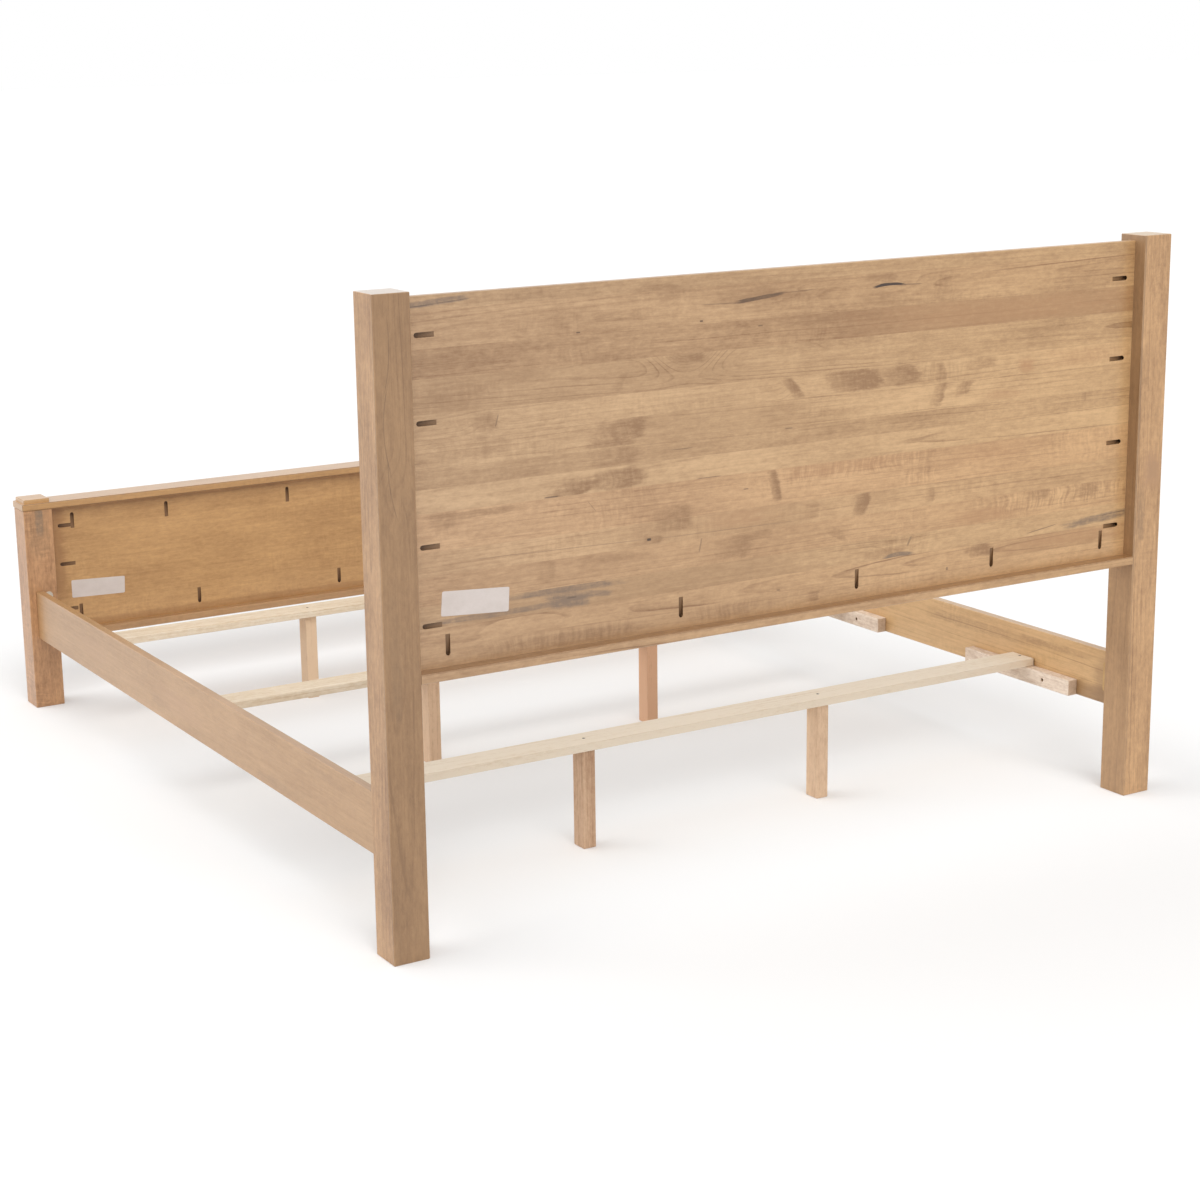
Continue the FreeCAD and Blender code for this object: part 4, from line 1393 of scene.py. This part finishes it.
HEAD_BOARDS: Tuple[Board, ...] = (
    Board(11, 0.24, 0.15, 0.6, 0.6, marks=spots(
        (T, 0.45, 0.611, 0.5, 0.04, 0.28), (R, 0.6, 0.61, 0.2, 0.017, 0.8),
        (C, 0.6, 0.606, 0.2, 0.014, 0.45), (R, 0.2, 0.611, 0.11, 0.018, 0.6),
        (C, 0.215, 0.608, 0.09, 0.014, 0.3), (C, -0.03, 0.611, 0.016, 0.012, 0.6),
        (S, -0.403, 0.623, 0.003, 0.004, 0.5),
    )),
    Board(12, 0.3, 0.15, 1.2, 0.4, 0.0075, 0.022, 0.0, 0.03, marks=spots(
        (T, 0.5, 0.655, 0.45, 0.04, 0.12), (T, -0.7, 0.655, 0.2, 0.04, 0.18),
        (W, 0.655, 0.65, 0.16, 0.022, 1.2), (C, -0.49, 0.655, 0.042, 0.015, 0.85, -0.5),
        (B, -0.76, 0.65, 0.2, 0.018, 0.5), (S, 0.06, 0.636, 0.004, 0.002, 0.4),
    )),
    Board(13, 0.34, 0.0, 0.8, 0.6, marks=spots(
        (T, 0.45, 0.69, 0.52, 0.04, 0.35), (M, 0.6, 0.709, 0.13, 0.0075, 0.75),
        (M, 0.72, 0.68, 0.2, 0.006, 0.65, 0.0, 0.6, -1.0), (M, 0.585, 0.686, 0.048, 0.017, 0.9, -0.6),
        (M, 0.515, 0.691, 0.035, 0.007, 0.6, 0.0, -0.6), (S, 0.575, 0.69, 0.012, 0.0015, 0.4),
        (C, -0.225, 0.68, 0.06, 0.01, 0.45), (M, -0.265, 0.674, 0.045, 0.005, 0.95, 0.0, 0.0, 1.2),
        (S, -0.294, 0.7, 0.003, 0.011, 0.4, 0.5), (W, -0.265, 0.676, 0.07, 0.026, 1.6),
        (S, -0.68, 0.681, 0.045, 0.0012, 0.5, 0.0, 5.0), (M, -0.86, 0.686, 0.11, 0.01, 0.8, 0.0, 0.7),
        (S, -0.9, 0.693, 0.05, 0.001, 0.4, 0.0, 3.0),
    )),
    Board(14, 0.34, 0.22, 0.7, 0.7, marks=spots(
        (T, 0.4, 0.753, 0.5, 0.04, 0.16), (C, 0.635, 0.752, 0.024, 0.026, 0.4),
        (C, 0.48, 0.76, 0.11, 0.008, 0.3, 0.0, -0.8), (S, 0.26, 0.76, 0.002, 0.018, 0.35, 0.2),
        (C, 0.175, 0.746, 0.05, 0.025, 0.6, 0.5), (C, 0.12, 0.764, 0.05, 0.01, 0.45),
        (C, -0.088, 0.745, 0.026, 0.012, 0.5, 0.0, -1.0), (R, -0.74, 0.752, 0.22, 0.024, 0.9),
        (C, -0.665, 0.763, 0.038, 0.012, 0.6), (C, -0.8, 0.757, 0.045, 0.016, 0.6),
        (B, -0.5, 0.735, 0.11, 0.018, 0.5),
    )),
    Board(15, 0.32, 0.1, 0.8, 0.7, marks=spots(
        (T, 0.22, 0.8, 0.26, 0.04, 0.24), (C, 0.33, 0.812, 0.048, 0.014, 0.7),
        (C, 0.378, 0.785, 0.022, 0.009, 0.6), (S, 0.3875, 0.787, 0.005, 0.003, 0.9),
        (S, 0.6, 0.793, 0.22, 0.0011, 0.24, 0.0, -4.5), (S, 0.19, 0.7845, 0.2, 0.0011, 0.22, 0.0, -2.0),
        (W, 0.3875, 0.787, 0.035, 0.012, 0.9), (C, -0.025, 0.8, 0.022, 0.02, 0.4),
        (C, -0.16, 0.799, 0.021, 0.026, 0.95, 0.25), (C, -0.35, 0.8, 0.013, 0.02, 0.5),
        (B, 0.16, 0.806, 0.09, 0.018, 0.4),
    )),
    Board(16, 0.28, 0.3, 0.8, 0.8, marks=spots(
        (C, 0.865, 0.885, 0.03, 0.02, 0.4), (C, 0.8, 0.889, 0.11, 0.008, 0.5),
        (S, 0.523, 0.872, 0.01, 0.0013, 0.3, 0.0, -9.0), (C, 0.33, 0.834, 0.05, 0.018, 0.65),
        (S, 0.145, 0.866, 0.007, 0.0013, 0.6), (C, 0.071, 0.866, 0.013, 0.036, 0.9, -0.25),
        (R, 0.02, 0.88, 0.05, 0.02, 0.7), (R, -0.17, 0.885, 0.19, 0.018, 0.8),
        (B, -0.11, 0.885, 0.17, 0.014, 0.5), (B, -0.52, 0.875, 0.12, 0.022, 0.35),
        (R, -0.32, 0.845, 0.06, 0.02, 0.6),
    )),
    Board(17, 0.24, 0.0, 1.1, 0.4, 0.0085, 0.02, 0.0, 0.02, marks=spots(
        (C, 0.56, 0.913, 0.055, 0.015, 0.85, 1.3), (C, 0.462, 0.922, 0.062, 0.022, 0.8),
        (R, 0.5, 0.918, 0.11, 0.02, 0.5), (S, 0.617, 0.902, 0.016, 0.0016, 0.6),
        (S, 0.2375, 0.9005, 0.034, 0.0012, 0.6), (W, -0.05, 0.926, 0.11, 0.018, 1.0),
    )),
    Board(18, 0.44, 0.0, 0.8, 0.3, marks=spots(
        (T, 0.6, 0.97, 0.4, 0.04, 0.1), (C, 0.47, 0.967, 0.06, 0.019, 0.6),
        (C, 0.78, 0.962, 0.14, 0.014, 0.25), (S, 0.305, 0.9675, 0.028, 0.001, 0.4, 0.0, 0.0, -1.0),
        (S, 0.035, 0.984, 0.01, 0.0015, 0.4), (C, -0.795, 0.975, 0.008, 0.012, 0.5),
    )),
    Board(19, 0.26, 0.0, 0.9, 0.5, marks=spots(
        (T, 0.23, 1.015, 0.26, 0.04, 0.2), (C, 0.462, 1.018, 0.068, 0.031, 0.85, 0.9),
        (C, 0.8, 1.02, 0.09, 0.022, 0.3), (C, -0.368, 1.018, 0.019, 0.028, 0.65, 0.4),
        (C, -0.44, 1.029, 0.022, 0.016, 0.65, 0.6), (B, -0.55, 1.003, 0.06, 0.01, 0.35),
    )),
    Board(20, 0.27, 0.0, 0.6, 0.6, marks=spots(
        (C, 0.765, 1.068, 0.028, 0.018, 0.55), (S, 0.738, 1.068, 0.0015, 0.012, 0.4, 0.3),
        (W, 0.765, 1.066, 0.04, 0.022, 1.3), (C, 0.024, 1.068, 0.017, 0.023, 0.95, -0.75),
        (W, 0.024, 1.068, 0.03, 0.023, 1.0), (C, -0.135, 1.072, 0.078, 0.024, 1.0, -0.6),
        (T, -0.12, 1.074, 0.05, 0.02, 0.25, -0.6), (C, -0.263, 1.072, 0.05, 0.024, 0.85, -0.5),
        (C, -0.37, 1.07, 0.018, 0.024, 0.5, -0.3), (R, -0.38, 1.07, 0.07, 0.024, 0.45),
        (C, -0.48, 1.08, 0.052, 0.015, 0.45), (B, -0.62, 1.063, 0.022, 0.015, 0.8),
        (B, -0.8, 1.07, 0.13, 0.022, 0.35),
    )),
    Board(21, 0.38, 0.0, 1.3, 0.5, 0.0056, 0.03, 0.012, 0.015, marks=spots(
        (T, 0.5, 1.14, 0.5, 0.06, 0.2), (W, 0.29, 1.172, 0.08, 0.05, 4.6),
        (C, 0.29, 1.156, 0.048, 0.012, 0.75), (C, 0.455, 1.118, 0.012, 0.02, 0.35, 0.5),
        (C, 0.84, 1.12, 0.08, 0.025, 0.35), (W, -0.14, 1.15, 0.15, 0.022, 1.6),
        (C, -0.13, 1.156, 0.11, 0.008, 0.3),
    )),
    Board(22, 0.62, 0.1, 0.6, 0.8, marks=spots(
        (C, 0.59, 1.208, 0.09, 0.01, 0.4), (C, 0.83, 1.19, 0.08, 0.024, 0.25),
        (S, 0.11, 1.207, 0.006, 0.0016, 0.5), (C, -0.02, 1.212, 0.08, 0.012, 0.35),
        (B, -0.56, 1.192, 0.43, 0.034, 0.55), (T, -0.5, 1.2, 0.5, 0.06, 0.22),
    )),
    Board(23, 0.46, 0.1, 1.3, 0.6, 0.008, 0.02, 0.0, 0.018, marks=spots(
        (S, 0.11, 1.2645, 0.06, 0.004, 1.0, 0.0, 1.4), (S, 0.118, 1.2638, 0.036, 0.0036, 1.0, 0.0, 1.2),
        (S, 0.205, 1.259, 0.05, 0.0012, 0.4, 0.0, -1.0), (S, 0.03, 1.271, 0.05, 0.0012, 0.4, 0.0, 1.0),
        (S, -0.23, 1.2705, 0.042, 0.003, 1.0, 0.0, 0.0, 1.5),
        (S, -0.222, 1.2707, 0.026, 0.0028, 1.0, 0.0, 0.0, 0.8),
        (S, -0.275, 1.267, 0.05, 0.0012, 0.5, 0.0, -1.5), (W, 0.112, 1.266, 0.13, 0.018, 1.4),
        (W, -0.225, 1.27, 0.1, 0.018, 1.4), (C, 0.12, 1.266, 0.12, 0.01, 0.45),
        (C, -0.205, 1.285, 0.04, 0.012, 0.5), (C, -0.195, 1.243, 0.04, 0.018, 0.35),
        (C, 0.37, 1.288, 0.08, 0.01, 0.35), (S, 0.55, 1.2262, 0.005, 0.0014, 0.7),
        (S, 0.2565, 1.227, 0.004, 0.0018, 0.8),
    )),
    Board(24, 0.44, 0.0, 1.0, 0.4, marks=spots(
        (M, 0.865, 1.309, 0.08, 0.0065, 0.8, 0.0, 0.9), (S, 0.86, 1.306, 0.08, 0.0009, 0.4, 0.0, 6.0),
        (W, 0.36, 1.303, 0.07, 0.014, 1.6), (C, 0.36, 1.303, 0.055, 0.007, 0.6, 0.0, 0.0, 0.8),
        (C, 0.64, 1.314, 0.012, 0.01, 0.3),
    )),
)


@dataclass
class HeadAssembly:
    """Head posts, the glued-up head panel, its ledge and label."""

    boards: Tuple[Board, ...] = HEAD_BOARDS
    board_prefix: str = "head_panel_board_"
    back_y: float = 1.113
    post_back: float = 1.146
    skin: float = 0.012
    skin_deep: Tuple[MarkKind, ...] = (C, T, B)
    label: PaperLabel = PaperLabel(
        "head_label", 1.113, ((0.869, 0.742), (0.718, 0.732), (0.721, 0.682), (0.873, 0.692)),
        "head_panel_wood",
    )

    def dress(self, effects: WoodEffects, paper: bpy.types.Material) -> None:
        """Dress the posts, boards and ledge, and add the label.

        Args:
            effects: the shared shader groups.
            paper: the label's paper.
        """
        self._posts(effects)
        names = [f"{self.board_prefix}{number:02d}" for number in range(1, len(self.boards) + 1)]
        for name, board in zip(names, self.boards):
            board = replace(board, marks=tuple(self._laid(mark) for mark in board.marks))
            STAINED.dress(effects, name, GrainAxis.X, board, around=names)
            LOG.info("%s: stain %.2f with %d marks", name, board.stain, len(board.marks))
        # Painted shade on the ledge's top face and the top of its back face, in the crease under the
        # panel.
        crease_shade = Mark(C, 0.0, 1.130, 4.0, 0.030, 1.0, level=0.5895, half_depth=0.0035)
        ledge = Board(33, 0.42, 0.15, 0.8, 0.3, marks=(crease_shade,))
        STAINED.dress(effects, "head_ledge_rail", GrainAxis.X, ledge)
        DOWEL.dress(effects, "head_ledge_dowels", GrainAxis.X, Board(34))
        self.label.build(paper)

    def _laid(self, mark: Mark) -> Mark:
        """Mark of the panel, kept to the back's skin if its kind lies only there."""
        skin = {"level": self.back_y, "half_depth": self.skin} if mark.kind in self.skin_deep else {}
        return replace(mark, **skin)

    def _posts(self, effects: WoodEffects) -> None:
        """Dress the posts, with their marks on the back faces and painted shade on the far post's inner
        face.

        Args:
            effects: the shared shader groups.
        """
        back = self.post_back
        near = Board(31, 0.60, 0.05, 1.7, 0.2, 0.009, 0.026, 0.0, 0.03, marks=spots(
            (T, 0.668, 0.976, 2.500, 0.2000, 0.55, 0.0, 0.0, 0.0, back, 0.004),
            (W, 0.955, 0.985, 0.060, 0.0300, 1.60, 0.0, 0.0, 0.0, back, 0.03),
            (S, 1.080, 1.000, 0.090, 0.0011, 0.32, 0.0, 0.0, 12.0, back, 0.006),
            (S, 1.210, 0.985, 0.070, 0.0011, 0.28, 0.0, 6.0, -6.0, back, 0.006),
            (S, 0.960, 0.990, 0.060, 0.0011, 0.28, 0.0, -8.0, 5.0, back, 0.006),
            (C, 0.640, 0.990, 0.140, 0.0120, 0.30, 0.0, 0.0, 0.0, back, 0.004),
        ))
        far = Board(32, 0.38, 0.05, 1.8, 0.6, spacing=0.009, marks=spots(
            (W, 0.790, -0.985, 0.040, 0.024, 1.00, 0.0, 0.0, 0.0, back, 0.03),
            (B, 0.790, -0.985, 0.045, 0.030, 1.00, 0.0, 0.0, 0.0, back, 0.006),
            (B, 0.785, -0.990, 0.022, 0.018, 0.70, 0.0, 0.0, 0.0, back, 0.006),
            (T, 0.790, -0.985, 0.022, 0.018, 0.12, 0.0, 0.0, 0.0, back, 0.006),
            (C, 0.690, -0.955, 0.070, 0.012, 0.40, 0.0, 0.0, 0.0, back, 0.006),
            # Painted shade on the far post's inner face, in the recess beside the panel, stronger above
            # the ledge.
            (T, 0.668, -0.936, 2.500, 0.0045, 0.42),
            (T, 1.250, -0.936, 0.650, 0.0045, 0.35),
        ))
        POST.dress(effects, "head_post_right", GrainAxis.Z, near)
        AMBER_POST.dress(effects, "head_post_left", GrainAxis.Z, far)


@dataclass
class FootAssembly:
    """Foot posts, cap rail with its pads, the veneered panel, its ledge and label."""

    post_front: float = -1.066
    label: PaperLabel = PaperLabel(
        "foot_label", -1.092, ((0.886, 0.342), (0.731, 0.335), (0.733, 0.287), (0.886, 0.292)),
        "foot_panel_wood",
    )

    def dress(self, effects: WoodEffects, paper: bpy.types.Material) -> None:
        """Dress every piece of the footboard and add the label.

        Args:
            effects: the shared shader groups.
            paper: the label's paper.
        """
        near_post = Board(41, 0.42, 0.55, 1.4, 1.1, depth=0.05, offset=0.02, lean=0.04, marks=spots(
            (M, 0.530, 0.974, 0.045, 0.0110, 0.85, 0.0, 0.0, 0.0, self.post_front, 0.02),
            (C, 0.500, 0.976, 0.080, 0.0300, 0.35, 0.0, 0.0, 0.0, self.post_front, 0.02),
        ))
        # The panel's three shade marks are painted shade: the near post's shadow on the panel beside it, a
        # dark line under the cap rail and one above the ledge.
        panel = Board(45, 0.40, 0.0, 1.0, 1.0, 0.014, 0.10, marks=spots(
            (T, 0.940, 0.440, 0.045, 0.160, 0.60), (T, 0.000, 0.550, 2.000, 0.010, 0.35),
            (T, 0.000, 0.215, 2.000, 0.012, 0.35),
        ))
        for finish, node, grain, board in (
            (CURLY_POST, "foot_post_right", GrainAxis.Z, near_post),
            (CURLY_POST, "foot_post_left", GrainAxis.Z, Board(42, 0.40, 0.3, 0.9, 0.6)),
            (CAP, "foot_pad_right", GrainAxis.X, Board(43, 0.25, 0.1)),
            (CAP, "foot_pad_left", GrainAxis.X, Board(44, 0.25, 0.1)),
            (VENEER, "foot_panel", GrainAxis.X, panel),
            (CAP, "foot_cap_rail", GrainAxis.X, Board(46, 0.40, 0.2, 0.7, 0.5)),
            (RAIL, "foot_ledge_rail", GrainAxis.X, Board(47, 0.45, 0.2, 0.7, 0.5)),
            (DOWEL, "foot_dowels", GrainAxis.Z, Board(48)),
        ):
            finish.dress(effects, node, grain, board)
        self.label.build(paper)
        LOG.info("footboard dressed")


@dataclass
class RailAssembly:
    """Side rails with their knock-down fittings."""

    near: Board = Board(51, 0.44, 0.05, 0.35, 0.15, 0.012, marks=spots(
        (C, 0.560, 0.215, 0.060, 0.014, 0.40, 0.6), (C, 0.480, 0.212, 0.040, 0.010, 0.35, -0.5),
        (B, -0.030, 0.255, 0.150, 0.030, 0.45, 1.2), (C, -0.130, 0.232, 0.070, 0.016, 0.30, 1.2),
        (B, -0.620, 0.265, 0.110, 0.025, 0.35, 1.0), (C, 0.820, 0.300, 0.090, 0.012, 0.25),
    ))
    # The far rail's first two marks are painted shade at its head end, near the head post.
    far: Board = Board(52, 0.12, 0.0, 1.0, 0.7, 0.010, marks=spots(
        (T, 0.980, 0.205, 0.170, 0.032, 0.60), (T, 1.050, 0.240, 0.060, 0.070, 0.40),
        (C, 0.560, 0.290, 0.200, 0.014, 0.30), (C, 0.850, 0.300, 0.120, 0.010, 0.35),
    ))

    def dress(self, effects: WoodEffects, zinc: bpy.types.Material, yellow: bpy.types.Material) -> None:
        """Dress the rails, plates and hooked angles.

        Args:
            effects: the shared shader groups.
            zinc: the plates' plated steel.
            yellow: the hooked angles' yellow-plated steel.
        """
        RAIL.dress(effects, "side_rail_right", GrainAxis.Y, self.near)
        GOLDEN_RAIL.dress(effects, "side_rail_left", GrainAxis.Y, self.far)
        for side in ("right", "left"):
            for end in ("head", "foot"):
                put_material(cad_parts[f"post_plate_{end}_{side}"], zinc)
                put_material(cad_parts[f"rail_bracket_{end}_{side}"], yellow)
        LOG.info("side rails and fittings dressed")


@dataclass
class SlatAssembly:
    """Slats, their cleats and their legs."""

    stains: Tuple[Tuple[str, float], ...] = (("foot", 0.25), ("middle", 0.36), ("head", -0.06))
    legs: Dict[str, Board] = field(default_factory=lambda: {
        "head_right": Board(61, 0.50, 0.15, 1.0, 0.3),
        "head_left": Board(62, 0.10, 0.1, 1.0, 0.3),
        "middle_right": Board(63, 0.00, 0.2, 1.0, 0.3),
        "middle_left": Board(64, -0.16, 0.8, 1.1, 0.3),
        "foot_right": Board(65, -0.04, 0.0, 0.8, 0.3),
        "foot_left": Board(66, 0.04, 0.0, 0.8, 0.3),
    })

    def dress(self, effects: WoodEffects) -> None:
        """Dress the slats, cleats and legs.

        Args:
            effects: the shared shader groups.
        """
        for number, (place, stain) in enumerate(self.stains):
            slat = Board(71 + number, stain, 0.0, 1.0, 0.3, 0.009, 0.03, 0.04)
            PALE.dress(effects, f"slat_{place}", GrainAxis.X, slat)
            for turn, side in enumerate(("right", "left")):
                cleat = Board(81 + 2 * number + turn, 0.18, 0.8, 0.5, 0.3)
                PALE.dress(effects, f"slat_cleat_{place}_{side}", GrainAxis.Y, cleat)
                LEG.dress(effects, f"slat_leg_{place}_{side}", GrainAxis.Z, self.legs[f"{place}_{side}"])
        LOG.info("slats, cleats and legs dressed")


# Studio and camera

@dataclass(frozen=True)
class PhotoCamera:
    """Camera behind the headboard, on the right-hand side of the bed."""

    place: Triple = (2.93115, 5.10331, 1.80689)
    yaw: float = 210.72545
    pitch: float = -13.35663
    roll: float = -0.85381
    lens: float = 70.56
    sensor: float = 36.0
    shift: Tuple[float, float] = (0.01848, -0.0088)
    reach: float = 200.0

    def build(self) -> None:
        """Add the camera and make it the scene's."""
        data = bpy.data.cameras.new("photo_camera")
        data.lens, data.sensor_width, data.clip_end = self.lens, self.sensor, self.reach
        data.shift_x, data.shift_y = self.shift
        yaw, pitch, roll = (math.radians(angle) for angle in (self.yaw, self.pitch, self.roll))
        flat = math.cos(pitch)
        ahead = Vector((math.sin(yaw) * flat, math.cos(yaw) * flat, math.sin(pitch)))
        right = Vector((math.cos(yaw), -math.sin(yaw), 0.0))
        up = right.cross(ahead)
        right, up = (
            right * math.cos(roll) + up * math.sin(roll), up * math.cos(roll) - right * math.sin(roll),
        )
        turn = Matrix((right, up, -ahead)).transposed().to_4x4()
        camera = add_object("photo_camera", data)
        camera.matrix_world = Matrix.Translation(self.place) @ turn
        bpy.context.scene.camera = camera


@dataclass(frozen=True)
class SoftLight:
    """Broad light from one direction, even over the whole floor."""

    name: str
    source: Triple
    strength: float
    spread: float

    def build(self) -> None:
        """Add the light to the scene."""
        lamp = bpy.data.lights.new(self.name, "SUN")
        lamp.energy, lamp.angle = self.strength, math.radians(self.spread)
        turn = Vector(self.source).to_track_quat("Z", "Y").to_euler()
        add_object(self.name, lamp).rotation_euler = turn


@dataclass(frozen=True)
class Studio:
    """White floor and surroundings under broad lights from above and both sides."""

    floor_size: float = 160.0
    floor_colour: Colour = srgb(232, 232, 232)
    floor_roughness: float = 0.9
    floor_glow: float = 0.10
    white: Colour = (1.0, 1.0, 1.0, 1.0)
    room: float = 0.60
    lights: Tuple[SoftLight, ...] = (
        SoftLight("side_light", (1.0, -0.35, 0.62), 1.10, 50.0),
        SoftLight("back_light", (0.2, 1.0, 1.0), 1.50, 40.0),
        SoftLight("front_light", (0.5, -1.0, 1.0), 0.40, 50.0),
    )

    def build(self) -> None:
        """Add the floor, the surroundings and the lights."""
        scene = bpy.context.scene
        scene.view_settings.view_transform = "Standard"
        half = self.floor_size / 2
        corners = [(-half, -half, 0), (half, -half, 0), (half, half, 0), (-half, half, 0)]
        mesh = bpy.data.meshes.new("studio_floor")
        mesh.from_pydata(corners, [], [(0, 1, 2, 3)])
        mesh.materials.append(self._floor())
        floor = add_object("studio_floor", mesh)
        scene.world = self._world()
        for light in self.lights:
            light.build()

    @staticmethod
    def _seen(graph: Graph) -> Socket:
        """One for rays that show the background: camera, glossy and transmission.

        Args:
            graph: the tree that asks.

        Returns:
            The socket that tells.
        """
        path = graph.node("ShaderNodeLightPath").outputs
        seen = graph.math("MAXIMUM", path["Is Camera Ray"], path["Is Glossy Ray"])
        return graph.math("MAXIMUM", seen, path["Is Transmission Ray"])

    def _floor(self) -> bpy.types.Material:
        """Seamless white floor that keeps the bed's shadow.

        Returns:
            The floor's material.
        """
        graph = SurfaceGraph("studio_floor")
        return graph.finish(
            Base_Color=self.floor_colour, Roughness=self.floor_roughness, Specular_IOR_Level=0.0,
            Emission_Color=self.white, Emission_Strength=graph.times(self._seen(graph), self.floor_glow),
        )

    def _world(self) -> bpy.types.World:
        """White surroundings to look at, and softer light from them.

        Returns:
            The surroundings.
        """
        world = bpy.data.worlds.new("studio")
        world.use_nodes = True
        graph = Graph(world.node_tree)
        ground = world.node_tree.nodes["Background"]
        graph.feed(ground.inputs["Color"], self.white)
        graph.feed(ground.inputs["Strength"], graph.scaled(self._seen(graph), 1.0 - self.room, self.room))
        return world


def main() -> None:
    """Build the studio, dress the frame and add the screws and labels."""
    logging.basicConfig(level=logging.INFO, format="%(name)s: %(message)s")
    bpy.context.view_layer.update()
    PhotoCamera().build()
    Studio().build()
    effects = WoodEffects()
    paper = PaperFinish().material()
    zinc = ZINC.material()
    black = BLACK_STEEL.material()
    HeadAssembly().dress(effects, paper)
    FootAssembly().dress(effects, paper)
    RailAssembly().dress(effects, zinc, YELLOW_STEEL.material())
    SlatAssembly().dress(effects)
    for screws in (
        ScrewSet("pocket_screw_heads", ("head_pocket_screws", "foot_pocket_screws"), WASHER_SCREW, black),
        ScrewSet("cleat_screw_heads", ("cleat_screws",), WASHER_SCREW, black),
        ScrewSet("slat_screw_heads", ("slat_screws", "leg_screws"), FLAT_SCREW, black),
        ScrewSet("fitting_screw_heads", ("bracket_screws",), FLAT_SCREW, zinc, "plated_steel"),
    ):
        screws.build()


if __name__ == "__main__":
    main()
